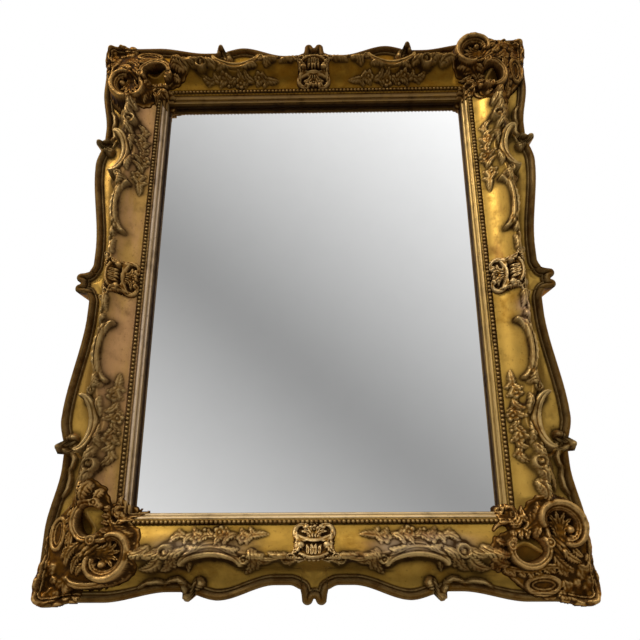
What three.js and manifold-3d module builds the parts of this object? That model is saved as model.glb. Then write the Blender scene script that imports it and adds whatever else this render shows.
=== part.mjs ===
// A wall mirror in a swept, carved and gilded frame.
// Four mitred wooden rails hold a glass plate and a backboard. A pressed ornament sits on each corner
// and on the middle of each rail. The origin is on the flat back of the top rail, +Z is up and the
// mirror looks towards -Y. All sizes are millimetres.

import * as THREE from 'three';
import { mergeVertices } from 'three/addons/utils/BufferGeometryUtils.js';
import Module from 'manifold-3d';

const wasm = await Module();
wasm.setup();

// Sight opening and the plates behind it
const SIGHT = { width: 445, height: 598 };
const REBATE = { lap: 6.5, depth: 16.3 };
const GLASS = { width: 457, height: 610, thickness: 4, front: 16 };
const BACKBOARD = { thickness: 4, front: 11.7 };
const GAP = 0.3;
const MERGE = 1e-4;

// Section of a rail, as distance outward from the sight edge and depth in front of the wall
const LIP = { depth: 25.3 };
const REEDS = [[1.8, 29.6], [3.4, 30.2], [5.2, 36.2], [7.0, 37.4]];
const BEAD_RIB = [[8.4, 42], [12.6, 43.6]];
const PANEL = { foot: [14.7, 40.2], belly: 0.42, sag: 4 };
const RIDGE = { place: 48, depth: 67, half: 3, dip: 12, drop: 8 };
const SEAM = { place: 15.5, depth: 30 };
const SCOOP = { run: 0.42, drop: 0.74, foot: 31 };
const MOULDING = { width: 11, crown: 40, crownPlace: 0.4, edge: 36, setback: 5 };
const WEDGE = { inside: -30, outside: 130, behind: -5, front: 120 };

// Swept outline: distances outward from the sight edge, places along the rail
const WAIST = 80;
const EAR = { neck: 14, reach: 9.5, slope: 1.6, flare: 5, run: 16, bulb: 8, round: 6.5 };
const CREST = { rise: 16, start: 45, fromCorner: 112, fall: 9, landing: 42 };
const TIP = { rise: 9, fromCorner: 78, half: 4.5 };
const HOOK = { drop: 9, fromCorner: 88, half: 6.5 };
const SHOULDER = { rise: 11, from: 55, run: 75 };
const FOOT = { rise: 5, from: -50, run: 34, round: 9, end: -88, fall: 22 };
const WINDOW = { fromCorner: 105, half: 26 };
const END_WINDOW = { fromCorner: -20, half: 15 };

// Running ornament on the rails
const WINDOW_SCROLL = { inner: 138, outer: 72, place: 51, bow: 0.42, radius: 4.2 };
const LONG_SCROLL = { from: 66, to: 140, place: 46, bow: -0.3, radius: 4.4 };
const LEAF = { from: 24, to: 62, place: 46, width: 13, rise: 6 };
const VOLUTE = { fromCorner: 54, place: 43, radius: 7.5, rise: 6, sink: 2 };
const SPIKE = { fromCorner: 146, place: 50, length: 24, width: 11, rise: 7 };

// Middle ornament of each rail
const CARTOUCHE = { half: 19, from: 13, to: 50.5, skin: 3.6, reach: 30 };
const SHELL = { ribs: 3, from: 17, to: 38, footHalf: 4, headHalf: 17, droop: 5, radius: 2.6, taper: 0.2 };
const CARTOUCHE_CURL = { near: 5, far: 15, low: 38, high: 51, bow: 0.62, steps: 4, radius: 3.2 };

// Corner ornament, in its own directions: p out along the lower rail, q out across it
const CORNER = { skin: 4, sink: 0.4, lap: 0.2 };
const CORNER_OUTLINE = [[-12, -4], [-4, -12], [28, -16], [58, -24], [84, -6], [93, 40], [93, 92], [30, 92],
  [-24, 46], [-20, 24]];
const BEDDING = 1;
const BIG_SCROLL = { centre: [58, 12], radius: 25, start: 195, sweep: -255, pinch: 0.4, bar: 4.6, lift: 3 };
const BOSS = { centre: [58, 12], radius: 24, depth: 44, rise: 20 };
const FOOT_BOSS = { centre: [70, 66], radius: 22, depth: 34, rise: 14 };
const CORNER_WINDOW = { centre: [21, 45], half: [14, 8.5] };
const CORNER_SCROLL = { from: [5, 37], to: [41, 38], bow: 0.62, radius: 3.8, sink: 2 };
const SIDE_SCROLL = { from: [86, 26], to: [86, 60], bow: -0.35, radius: 4, sink: 2 };
const SIGHT_CURL = { centre: [-3, -3], radius: 7, lift: 4, rise: 9 };
const CORNERS = {
  bottom_right: { turn: 0, shift: [0, 0] },
  bottom_left: { turn: 1, shift: [-13, -3] },
  top_left: { turn: 2, shift: [-7, -7] },
  top_right: { turn: 3, shift: [1, 2] },
};

// Hanging plates let into the back of the top rail
const HANGER = { fromMiddle: 150, place: 45, width: 26, height: 46, thickness: 2.5, radius: 6, pocket: 9 };
const KEYHOLE = { radius: 5, slot: 5, rise: 12 };

const RAILS = {
  rail_top: { half: SIGHT.width / 2, turn: 0, at: [0, SIGHT.height / 2], long: false },
  rail_right: { half: SIGHT.height / 2, turn: 1, at: [SIGHT.width / 2, 0], long: true },
  rail_bottom: { half: SIGHT.width / 2, turn: 2, at: [0, -SIGHT.height / 2], long: false },
  rail_left: { half: SIGHT.height / 2, turn: 3, at: [-SIGHT.width / 2, 0], long: true },
};

const finishes = {
  rail: { color: 0x8f6a34, roughness: 0.45, metalness: 0.6 },
  ornament: { color: 0x9c763c, roughness: 0.4, metalness: 0.6 },
  mirror: { color: 0xd9dcdc, roughness: 0.03, metalness: 1 },
  backing: { color: 0x8a6a48, roughness: 0.85, metalness: 0 },
  steel: { color: 0xa8a9a6, roughness: 0.4, metalness: 0.9 },
};

const ease = (x) => THREE.MathUtils.smoothstep(x, 0, 1);
const bell = (x) => Math.exp(-x * x);
const lerp = THREE.MathUtils.lerp;

// Conversion between three.js geometry and closed solids

function solidOf(geometry) {
  const bare = geometry.index ? geometry.toNonIndexed() : geometry.clone();
  bare.deleteAttribute('normal');
  bare.deleteAttribute('uv');
  const merged = mergeVertices(bare, MERGE);
  return new wasm.Manifold(new wasm.Mesh({
    numProp: 3,
    vertProperties: new Float32Array(merged.attributes.position.array),
    triVerts: new Uint32Array(merged.index.array),
  }));
}

function geometryOf(solid) {
  const mesh = solid.getMesh();
  const geometry = new THREE.BufferGeometry();
  geometry.setAttribute('position', new THREE.BufferAttribute(new Float32Array(mesh.vertProperties), 3));
  geometry.setIndex(new THREE.BufferAttribute(new Uint32Array(mesh.triVerts), 1));
  geometry.computeVertexNormals();
  return geometry;
}

// A closed body through rings that all have the same number of points
function loft(rings) {
  const sides = rings[0].length;
  const points = rings.flat();
  const faces = [];
  for (let r = 0; r + 1 < rings.length; r += 1) {
    for (let k = 0; k < sides; k += 1) {
      const a = r * sides + k;
      const b = r * sides + ((k + 1) % sides);
      faces.push(a, b, a + sides, b, b + sides, a + sides);
    }
  }
  const cap = (ring, offset, flip) => {
    const normal = new THREE.Vector3();
    const first = ring[0];
    for (let k = 1; k + 1 < sides; k += 1) {
      const edge = ring[k].clone().sub(first);
      normal.add(edge.cross(ring[k + 1].clone().sub(first)));
    }
    const tangent = ring.find((point) => point.distanceTo(first) > 0.5).clone().sub(first).normalize();
    const across = normal.normalize().clone().cross(tangent);
    const flat = ring.map((point) => new THREE.Vector2(point.dot(tangent), point.dot(across)));
    for (const [a, b, c] of THREE.ShapeUtils.triangulateShape(flat, [])) {
      faces.push(...(flip ? [offset + a, offset + c, offset + b] : [offset + a, offset + b, offset + c]));
    }
  };
  cap(rings[0], 0, true);
  cap(rings[rings.length - 1], (rings.length - 1) * sides, false);
  const geometry = new THREE.BufferGeometry();
  geometry.setAttribute('position', new THREE.Float32BufferAttribute(points.flatMap((v) => v.toArray()), 3));
  geometry.setIndex(faces);
  return geometry;
}

function closedSolid(rings) {
  const solid = solidOf(loft(rings));
  return solid.volume() > 0 ? solid : solidOf(loft(rings.map((ring) => [...ring].reverse())));
}

// Outline and section of a rail

function outerEdge(s, rail) {
  const along = Math.abs(s);
  const toCorner = rail.half - along;
  const crest = rail.half - CREST.fromCorner;
  const climb = ease((along - CREST.start) / (crest - CREST.start));
  const fall = CREST.fall * ease((CREST.fromCorner - toCorner) / CREST.landing);
  const neck = EAR.reach * (1 - ease((along - EAR.neck) / EAR.slope));
  const flare = EAR.flare * (1 - ease((along - EAR.neck) / EAR.run)) ** 1.5;
  const bulb = EAR.round * Math.sqrt(Math.max(1 - ((along - EAR.bulb) / EAR.round) ** 2, 0));
  const tip = TIP.rise * bell((toCorner - TIP.fromCorner) / TIP.half);
  const shoulder = SHOULDER.rise * ease((SHOULDER.from - toCorner) / SHOULDER.run);
  const foot = FOOT.rise * ease((FOOT.from - toCorner) / FOOT.run)
    - FOOT.round * ease((FOOT.end - toCorner) / FOOT.fall);
  return WAIST + neck + flare + bulb + CREST.rise * climb - fall + tip + shoulder + foot;
}

function mouldingFoot(s, rail) {
  const toCorner = rail.half - Math.abs(s);
  const hook = HOOK.drop * bell((toCorner - HOOK.fromCorner) / HOOK.half);
  return outerEdge(s, rail) - MOULDING.width - hook;
}

// The ridge bends inward and drops at the windows: two on the rail, one more under the ornament at one end
function windowShare(s, rail) {
  const toCorner = rail.half - Math.abs(s);
  const end = s < 0 ? bell((toCorner - END_WINDOW.fromCorner) / END_WINDOW.half) : 0;
  return bell((toCorner - WINDOW.fromCorner) / WINDOW.half) + end;
}

const ridgeLine = (s, rail) => RIDGE.place - RIDGE.dip * windowShare(s, rail);
const ridgeDepth = (s, rail) => RIDGE.depth - RIDGE.drop * windowShare(s, rail);

// Front of the section at s, from the foot of the panel to the outer edge
function frontPoints(s, rail) {
  const edge = outerEdge(s, rail);
  const foot = mouldingFoot(s, rail);
  const ridge = ridgeLine(s, rail);
  const top = ridgeDepth(s, rail);
  const inner = ridge - RIDGE.half;
  const outer = ridge + RIDGE.half;
  const belly = [
    lerp(PANEL.foot[0], inner, PANEL.belly),
    lerp(PANEL.foot[1], top, PANEL.belly) - PANEL.sag,
  ];
  const scoop = [lerp(outer, foot, SCOOP.run), lerp(top, SCOOP.foot, SCOOP.drop)];
  return [
    PANEL.foot, belly, [inner, top], [outer, top], scoop, [foot, SCOOP.foot],
    [lerp(foot, edge, MOULDING.crownPlace), MOULDING.crown], [edge, MOULDING.edge],
  ];
}

// Front of the sight moulding, which runs straight: lip, two reeds and the rib that the beads stand on
const SIGHT_POINTS = [[0, LIP.depth], ...REEDS, ...BEAD_RIB, PANEL.foot];

function depthAt(s, u, rail) {
  const points = [...SIGHT_POINTS, ...frontPoints(s, rail)];
  if (u <= 0) return LIP.depth;
  for (let k = 0; k + 1 < points.length; k += 1) {
    const [u0, d0] = points[k];
    const [u1, d1] = points[k + 1];
    if (u >= u0 && u <= u1) return lerp(d0, d1, (u - u0) / (u1 - u0));
  }
  return MOULDING.edge;
}

// The front pushed out square to itself by a distance
function grown(points, by) {
  return points.map(([u, d], k) => {
    const before = points[Math.max(k - 1, 0)];
    const after = points[Math.min(k + 1, points.length - 1)];
    const normal = new THREE.Vector2(before[1] - after[1], after[0] - before[0]).normalize();
    return [u + normal.x * by, d + normal.y * by];
  });
}

const STATIONS = { ear: [1.5, 8, 13.4, 15.2, 19, 29], tip: [16, 8, 3, -2, -9], pitch: 36 };

// Sections stand close together at the ears and the tips, and far apart elsewhere
function stations(rail) {
  const tip = STATIONS.tip.map((offset) => rail.half - TIP.fromCorner - offset);
  const start = STATIONS.ear[STATIONS.ear.length - 1];
  const spans = Math.round((tip[0] - start) / STATIONS.pitch);
  const sweep = Array.from({ length: spans - 1 }, (_, k) => lerp(start, tip[0], (k + 1) / spans));
  const half = [...STATIONS.ear, ...sweep, ...tip, ...cornerStations(rail)];
  return [...half.map((stop) => -stop).reverse(), 0, ...half];
}

const cornerStations = (rail) => [-36, 10, 50, 90, 110].map((offset) => rail.half + offset);

// A rail before its mitres are cut, in its own directions: X along, Z outward, front at -Y
function railBody(rail, grow = 0, stops = stations(rail)) {
  const ring = (s, points) => points.map(([u, d]) => new THREE.Vector3(s, -d, u));
  const outer = stops.map((s) => {
    const front = grow ? grown(frontPoints(s, rail), grow) : frontPoints(s, rail);
    const edge = front[front.length - 1][0] - (grow ? 0 : MOULDING.setback);
    return ring(s, [...front, [edge, 0], [PANEL.foot[0], 0]]);
  });
  const front = grow ? grown(SIGHT_POINTS, grow) : SIGHT_POINTS;
  const back = grow
    ? [[-grow, 0]]
    : [[REBATE.lap, 0], [REBATE.lap, REBATE.depth], [0, REBATE.depth]];
  const seam = [[SEAM.place, SEAM.depth], [SEAM.place, 0]];
  const inner = [stops[0], stops[stops.length - 1]].map((s) => ring(s, [...front, ...seam, ...back]));
  return closedSolid(outer).add(closedSolid(inner));
}

// A prism over a flat outline given in the XZ plane
function prism(outline, from, to, holes = []) {
  const shape = new THREE.Shape(outline.map(([x, z]) => new THREE.Vector2(x, z)));
  for (const hole of holes) shape.holes.push(new THREE.Path(hole.map(([x, z]) => new THREE.Vector2(x, z))));
  const geometry = new THREE.ExtrudeGeometry(shape, { depth: to - from, bevelEnabled: false });
  geometry.rotateX(Math.PI / 2);
  geometry.translate(0, -from, 0);
  return solidOf(geometry);
}

function mitred(solid, rail, gap) {
  const { inside, outside, behind, front } = WEDGE;
  const at = (u) => rail.half + u - gap * Math.SQRT1_2;
  const ends = [[at(inside), inside], [at(outside), outside]];
  const wedge = prism([...ends, ...ends.map(([s, u]) => [-s, u]).reverse()], behind, front);
  return solid.intersect(wedge);
}

// Scroll: a path whose bend tightens into a curl at each end, fitted between two curl centres

function scrollPath(from, to, bow, steps = 5, curl = 3.4) {
  const raw = [new THREE.Vector2()];
  let heading = 0;
  for (let k = 0; k < steps; k += 1) {
    const t = Math.abs((2 * k) / (steps - 1) - 1);
    heading += (Math.PI * bow * (1 + curl * t ** 3)) / steps;
    const stride = 1.15 - t ** 2;
    const step = new THREE.Vector2(Math.cos(heading), Math.sin(heading)).multiplyScalar(stride);
    raw.push(raw[k].clone().add(step));
  }
  const first = raw[1];
  const last = raw[raw.length - 2];
  const chord = last.clone().sub(first);
  const target = new THREE.Vector2(to[0] - from[0], to[1] - from[1]);
  const scale = target.length() / chord.length();
  const turn = target.angle() - chord.angle();
  const origin = new THREE.Vector2();
  return raw.map((point) => point.clone().sub(first).multiplyScalar(scale).rotateAround(origin, turn)
    .add(new THREE.Vector2(...from)));
}

// An arc about a centre that winds inward at both ends
function arcPath([x, z], { radius, start, sweep, pinch }, steps = 8) {
  return Array.from({ length: steps }, (_, k) => {
    const t = k / (steps - 1);
    const angle = THREE.MathUtils.degToRad(start + sweep * t);
    const reach = radius * (1 - pinch * Math.abs(2 * t - 1) ** 4);
    return new THREE.Vector2(x + reach * Math.cos(angle), z + reach * Math.sin(angle));
  });
}

const BAR_SIDES = 4;

// A round bar along a path on a surface, thin at its ends
function bar(path, surface, radius, taper = 0.45) {
  const spots = path.map((point) => new THREE.Vector3(point.x, -surface(point.x, point.y), point.y));
  const rings = spots.map((spot, k) => {
    const along = spots[Math.min(k + 1, spots.length - 1)].clone()
      .sub(spots[Math.max(k - 1, 0)]).normalize();
    const up = new THREE.Vector3(0, -1, 0).addScaledVector(along, along.y).normalize();
    const across = along.clone().cross(up);
    const t = Math.abs((2 * k) / (spots.length - 1) - 1);
    const size = radius * (1 - taper * t ** 2);
    return Array.from({ length: BAR_SIDES }, (_, i) => {
      const angle = (2 * Math.PI * (i + 0.25)) / BAR_SIDES;
      return spot.clone().addScaledVector(up, size * Math.sin(angle))
        .addScaledVector(across, size * Math.cos(angle));
    });
  });
  return closedSolid(rings);
}

const DOME_ROOT = 6;
const DOME_SIDES = 8;
const ROUND = [[0.9, 0.5], [0.5, 1]];
const FLAT_TOP = [[0.65, 1]];

// A boss on the surface: rings that each have a share of the radius at a share of the rise
function dome([x, z], surface, radius, rise, levels) {
  const ring = ([size, level]) => Array.from({ length: DOME_SIDES }, (_, i) => {
    const angle = (2 * Math.PI * i) / DOME_SIDES;
    const px = x + radius * size * Math.cos(angle);
    const pz = z + radius * size * Math.sin(angle);
    return new THREE.Vector3(px, -(surface(px, pz) + rise * level), pz);
  });
  return closedSolid([[1, -DOME_ROOT / rise], ...levels].map(ring));
}

// A leaf: a keeled blade from its root to a point
function leaf(root, tip, surface, width, rise) {
  const along = new THREE.Vector2(tip[0] - root[0], tip[1] - root[1]);
  const across = new THREE.Vector2(-along.y, along.x).normalize();
  const rings = [0, 0.5, 1].map((t) => {
    const middle = new THREE.Vector2(...root).addScaledVector(along, t);
    const half = (width / 2) * (1.05 - t) * (1 + 1.2 * t);
    const depth = surface(middle.x, middle.y);
    const lift = rise * (1 - 0.6 * t);
    const spot = (side, level) => new THREE.Vector3(middle.x + across.x * side * half, -(depth + level),
      middle.y + across.y * side * half);
    return [spot(-1, -5), spot(-1, lift * 0.3), spot(0, lift), spot(1, lift * 0.3), spot(1, -5)];
  });
  return closedSolid(rings);
}

const joined = (solids) => solids.reduce((sum, next) => sum.add(next));

function ellipse([x, z], [halfX, halfZ], count = 8) {
  return Array.from({ length: count }, (_, i) => {
    const angle = (2 * Math.PI * i) / count;
    return [x + halfX * Math.cos(angle), z + halfZ * Math.sin(angle)];
  });
}

// Rails with their running ornament

function makeRail(rail) {
  const surface = (s, u) => depthAt(s, u, rail);
  const relief = [];
  for (const side of [-1, 1]) {
    const at = (fromCorner) => side * (rail.half - fromCorner);
    const bow = (amount) => side * amount;
    const windowPath = scrollPath([at(WINDOW_SCROLL.inner), WINDOW_SCROLL.place],
      [at(WINDOW_SCROLL.outer), WINDOW_SCROLL.place], bow(WINDOW_SCROLL.bow));
    relief.push(bar(windowPath, (s) => ridgeDepth(s, rail), WINDOW_SCROLL.radius));
    relief.push(dome([at(VOLUTE.fromCorner), VOLUTE.place], () => RIDGE.depth - VOLUTE.sink, VOLUTE.radius,
      VOLUTE.rise, FLAT_TOP));
    relief.push(leaf([at(SPIKE.fromCorner), SPIKE.place - SPIKE.length / 2],
      [at(SPIKE.fromCorner), SPIKE.place + SPIKE.length / 2], surface, SPIKE.width, SPIKE.rise));
    relief.push(leaf([side * LEAF.from, LEAF.place], [side * LEAF.to, LEAF.place], surface, LEAF.width,
      LEAF.rise));
    if (rail.long) {
      const longPath = scrollPath([side * LONG_SCROLL.from, LONG_SCROLL.place],
        [side * LONG_SCROLL.to, LONG_SCROLL.place], bow(LONG_SCROLL.bow));
      relief.push(bar(longPath, () => RIDGE.depth, LONG_SCROLL.radius));
    }
  }
  const shaped = joined([railBody(rail), ...relief]);
  return mitred(shaped, rail, GAP);
}

// Part of a rail's surface as a skin, cut to an outline, for an ornament to stand on
function skin(body, outer, outline, holes) {
  return outer.intersect(prism(outline, REBATE.depth + 1, 110, holes)).subtract(body);
}

function makeCartouche(rail) {
  const ends = [-CARTOUCHE.reach, CARTOUCHE.reach];
  const cutter = railBody(rail, CORNER.sink, ends);
  const cover = railBody(rail, CARTOUCHE.skin, ends);
  const middle = (CARTOUCHE.from + CARTOUCHE.to) / 2;
  const outline = ellipse([0, middle], [CARTOUCHE.half, (CARTOUCHE.to - CARTOUCHE.from) / 2], 8);
  const surface = (s, u) => depthAt(s, u, rail) + CARTOUCHE.skin - BEDDING;
  const relief = [];
  for (let k = 0; k < SHELL.ribs; k += 1) {
    const t = (2 * k) / (SHELL.ribs - 1) - 1;
    const foot = new THREE.Vector2(t * SHELL.footHalf, SHELL.from);
    const head = new THREE.Vector2(t * SHELL.headHalf, SHELL.to - SHELL.droop * t * t);
    relief.push(bar([foot, foot.clone().lerp(head, 0.5), head], surface, SHELL.radius, SHELL.taper));
  }
  for (const side of [-1, 1]) {
    const path = scrollPath([side * CARTOUCHE_CURL.near, CARTOUCHE_CURL.high],
      [side * CARTOUCHE_CURL.far, CARTOUCHE_CURL.low], -side * CARTOUCHE_CURL.bow, CARTOUCHE_CURL.steps);
    relief.push(bar(path, () => RIDGE.depth + CARTOUCHE.skin, CARTOUCHE_CURL.radius));
  }
  const base = skin(cutter, cover, outline, []);
  return mainBody(joined([base, ...relief]).subtract(cutter));
}

// Corner directions run p along X and q along -Z, from the sight corner

function cornerBody(grow) {
  const rail = { half: SIGHT.width / 2 };
  const stops = cornerStations(rail);
  const lower = mitred(railBody(rail, grow, stops.map((stop) => -stop).reverse()), rail, -CORNER.lap);
  const upper = mitred(railBody(rail, grow, stops), rail, -CORNER.lap);
  const below = lower.translate(rail.half, 0, 0).mirror([1, 0, 0]).mirror([0, 0, 1]);
  const beside = upper.translate(-rail.half, 0, 0).mirror([0, 0, 1]).mirror([1, 0, 1]);
  return below.add(beside);
}

// The largest body of a cut, without the slivers that a cut can leave
function mainBody(solid) {
  return solid.decompose().reduce((best, next) => (next.volume() > best.volume() ? next : best));
}

function makeCorner([shiftP, shiftQ], cutter, cover) {
  const place = ([p, q]) => [p + shiftP, -(q + shiftQ)];
  const rail = { half: SIGHT.width / 2 };
  const surface = (x, z) => {
    const [p, q] = [x, -z];
    return q > p ? depthAt(-rail.half - p, q, rail) : depthAt(rail.half + q, p, rail);
  };
  const high = (level) => (x, z) => Math.max(surface(x, z) + CORNER.skin - BEDDING, level);
  const outline = CORNER_OUTLINE.map(place);
  const window = ellipse(place(CORNER_WINDOW.centre), CORNER_WINDOW.half);
  const relief = [];
  const scroll = ({ from, to, bow, radius, sink }, level) => {
    relief.push(bar(scrollPath(place(from), place(to), bow), high(level - sink), radius));
  };
  relief.push(bar(arcPath(place(BIG_SCROLL.centre), BIG_SCROLL), high(RIDGE.depth + BIG_SCROLL.lift),
    BIG_SCROLL.bar));
  scroll(CORNER_SCROLL, RIDGE.depth);
  scroll(SIDE_SCROLL, MOULDING.crown);
  relief.push(dome(SIGHT_CURL.centre, () => LIP.depth + SIGHT_CURL.lift, SIGHT_CURL.radius, SIGHT_CURL.rise,
    FLAT_TOP));
  for (const boss of [BOSS, FOOT_BOSS]) {
    relief.push(dome(place(boss.centre), () => boss.depth, boss.radius, boss.rise, ROUND));
  }
  const base = skin(cutter, cover, outline, [window]);
  return mainBody(joined([base, ...relief]).subtract(cutter));
}

// Plates behind the sight edge

function makePlate(width, height, front, thickness) {
  const plate = new THREE.BoxGeometry(width, thickness, height);
  plate.translate(0, -(front - thickness / 2), 0);
  return plate;
}

// A keyhole hanging plate: round head below, slot above it
function hangerOutline(grow) {
  const half = HANGER.width / 2 + grow;
  const tall = HANGER.height / 2 + grow;
  const radius = HANGER.radius + grow;
  const shape = new THREE.Shape();
  shape.moveTo(-half + radius, -tall);
  shape.lineTo(half - radius, -tall);
  shape.absarc(half - radius, -tall + radius, radius, -Math.PI / 2, 0);
  shape.absarc(half - radius, tall - radius, radius, 0, Math.PI / 2);
  shape.absarc(-half + radius, tall - radius, radius, Math.PI / 2, Math.PI);
  shape.absarc(-half + radius, -tall + radius, radius, Math.PI, Math.PI * 1.5);
  return shape;
}

function keyhole() {
  const lean = Math.asin(KEYHOLE.slot / 2 / KEYHOLE.radius);
  const hole = new THREE.Path();
  hole.absarc(0, 0, KEYHOLE.radius, Math.PI / 2 + lean, Math.PI * 2.5 - lean);
  hole.absarc(0, KEYHOLE.rise, KEYHOLE.slot / 2, 0, Math.PI);
  return hole;
}

function slab(shape, from, to, curveSegments = 2) {
  const geometry = new THREE.ExtrudeGeometry(shape, { depth: to - from, bevelEnabled: false, curveSegments });
  geometry.rotateX(Math.PI / 2);
  geometry.translate(0, -from, 0);
  return geometry;
}

function makeHanger() {
  const shape = hangerOutline(0);
  shape.holes.push(keyhole());
  return slab(shape, 0, HANGER.thickness);
}

// The pocket behind a hanging plate, with room for a screw head
function hangerPocket(x) {
  return solidOf(slab(hangerOutline(GAP), -1, HANGER.pocket)).translate(x, 0, HANGER.place);
}

// Assembly

const material = (finish) => new THREE.MeshStandardMaterial(finishes[finish]);

function addMesh(group, name, geometry, finish, [x, z] = [0, 0], turn = 0) {
  const mesh = new THREE.Mesh(geometry, material(finish));
  mesh.name = name;
  mesh.position.set(x, 0, z);
  mesh.rotation.y = (turn * Math.PI) / 2;
  group.add(mesh);
}

const mirror = new THREE.Group();
const frame = new THREE.Group();
frame.position.z = -(SIGHT.height / 2 + HANGER.place);
mirror.add(frame);

for (const [name, rail] of Object.entries(RAILS)) {
  let solid = makeRail(rail);
  if (name === 'rail_top') {
    for (const x of [-HANGER.fromMiddle, HANGER.fromMiddle]) solid = solid.subtract(hangerPocket(x));
  }
  addMesh(frame, name, geometryOf(solid), 'rail', rail.at, rail.turn);
  addMesh(frame, name.replace('rail', 'cartouche'), geometryOf(makeCartouche(rail)), 'ornament',
    rail.at, rail.turn);
}

const cornerCutter = cornerBody(CORNER.sink);
const cornerCover = cornerBody(CORNER.skin);
for (const [name, { turn, shift }] of Object.entries(CORNERS)) {
  const spot = [name.endsWith('right') ? SIGHT.width / 2 : -SIGHT.width / 2,
    name.startsWith('top') ? SIGHT.height / 2 : -SIGHT.height / 2];
  addMesh(frame, `corner_${name}`, geometryOf(makeCorner(shift, cornerCutter, cornerCover)), 'ornament',
    spot, turn);
}

addMesh(frame, 'mirror_glass', makePlate(GLASS.width, GLASS.height, GLASS.front, GLASS.thickness), 'mirror');
addMesh(frame, 'backboard', makePlate(GLASS.width, GLASS.height, BACKBOARD.front, BACKBOARD.thickness),
  'backing');
for (const [name, side] of [['hanger_left', -1], ['hanger_right', 1]]) {
  addMesh(frame, name, makeHanger(), 'steel', [side * HANGER.fromMiddle, SIGHT.height / 2 + HANGER.place]);
}

export default mirror;
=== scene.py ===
import logging
import math
from collections.abc import Callable, Sequence
from dataclasses import dataclass, field
from enum import Enum

import bpy
import numpy as np
from mathutils import Matrix, Vector

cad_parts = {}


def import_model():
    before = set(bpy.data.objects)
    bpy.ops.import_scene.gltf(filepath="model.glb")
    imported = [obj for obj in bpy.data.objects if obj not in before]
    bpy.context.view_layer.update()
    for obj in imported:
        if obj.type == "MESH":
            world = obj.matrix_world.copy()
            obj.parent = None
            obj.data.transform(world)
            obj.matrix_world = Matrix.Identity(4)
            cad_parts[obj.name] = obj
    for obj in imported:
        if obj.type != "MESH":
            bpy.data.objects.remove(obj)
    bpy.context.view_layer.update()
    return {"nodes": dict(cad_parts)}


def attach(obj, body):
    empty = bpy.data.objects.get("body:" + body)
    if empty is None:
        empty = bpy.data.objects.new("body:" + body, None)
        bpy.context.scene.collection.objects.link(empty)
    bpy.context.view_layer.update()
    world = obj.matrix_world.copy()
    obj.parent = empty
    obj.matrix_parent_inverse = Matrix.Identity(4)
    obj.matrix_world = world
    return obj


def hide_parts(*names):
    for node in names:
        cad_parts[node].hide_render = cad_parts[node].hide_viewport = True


log = logging.getLogger("wall_mirror")

Array = np.ndarray
Pair = tuple[float, float]
Triple = tuple[float, float, float]
Colour = tuple[float, float, float]
Socket = bpy.types.NodeSocket

MM = 0.001

# Sight opening, glass and rebate, in millimetres, with depths counted from the wall
SIGHT_WIDTH, SIGHT_HEIGHT = 445.0, 598.0
SIGHT_MIDDLE = -344.0
GLASS_FRONT = 16.0
REBATE, REBATE_DEPTH, LIP_MIDDLE = 6.5, 16.3, 21.0
MITRE_GAP = 0.3

# Section of a rail
LIP_TOP, REED_TOP, REED_FOOT = 25.3, (3.2, 29.6), (7.0, 36.6)
PANEL_FOOT, PANEL_SAG = (14.7, 40.2), 4.4
RIDGE_DEPTH, RIDGE_HALF, RIDGE_CROWN = 67.0, 2.8, 1.4
SCOOP_FOOT, SCOOP_POWER = 31.0, 2.4
MOULDING_WIDTH, MOULDING_CROWN, MOULDING_EDGE, MOULDING_SETBACK = 11.0, 40.0, 36.0, 5.0
BEAD_PLACE, BEAD_DEPTH, BEAD_RADIUS, BEAD_PITCH = 10.6, 40.6, 2.5, 5.4
BEAD_RINGS, BEAD_SIDES, BEAD_TILT = 4, 10, 112.0

# Rows of the meshes across panel, ridge, scoop and moulding, and the cell of the relief
PANEL_STEPS, RIDGE_STEPS, SCOOP_STEPS, ROLL_STEPS = 26, 5, 34, 14
RASTER_CELL = 0.6

# Pockets behind the top rail for the hanging plates
POCKET_SPACING, POCKET_PLACE, POCKET_HALF, POCKET_DEPTH = 150.0, 45.0, (13.4, 23.4), 9.0
POCKET_SLOPE, POCKET_WALL = 1.6, 0.3


def ease(x: Array) -> Array:
    """Smooth step from 0 to 1."""
    x = np.clip(x, 0, 1)
    return x * x * (3 - 2 * x)


def bell(x: Array) -> Array:
    """Bell curve of height 1."""
    return np.exp(-x * x)


def dome(x: Array) -> Array:
    """Half round over -1 to 1, and 0 outside."""
    return np.sqrt(np.clip(1 - x * x, 0, 1))


def blurred(image: Array, sigma: float) -> Array:
    """Gaussian blur of a raster, with its edges held.

    Args:
        image: the raster.
        sigma: spread in cells.
    Returns:
        The blurred raster.
    """
    pad = int(3 * sigma) + 1
    wide = np.pad(image, pad, mode="edge")
    fx = np.fft.fftfreq(wide.shape[0])[:, None]
    fy = np.fft.rfftfreq(wide.shape[1])[None, :]
    soft = np.exp(-2 * (math.pi * sigma) ** 2 * (fx * fx + fy * fy))
    return np.fft.irfft2(np.fft.rfft2(wide) * soft, s=wide.shape)[pad:-pad, pad:-pad]


def steps(count: int) -> Array:
    """Even steps up to 1, without 0."""
    return np.linspace(0, 1, count + 1)[1:]


def arc_rows(start: Pair, end: Pair, bulge: float, count: int) -> Array:
    """Points of a reed: a bulging line between two points of the section, without its first point.

    Args:
        start: first point, as place u and depth.
        end: last point.
        bulge: how far the reed stands out.
        count: number of points.
    Returns:
        The points.
    """
    t = steps(count)
    line = np.outer(1 - t, start) + np.outer(t, end)
    normal = np.array([start[1] - end[1], end[0] - start[0]])
    return line + np.outer(np.sin(math.pi * t) ** 0.7 * bulge, normal / np.hypot(*normal))


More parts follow.
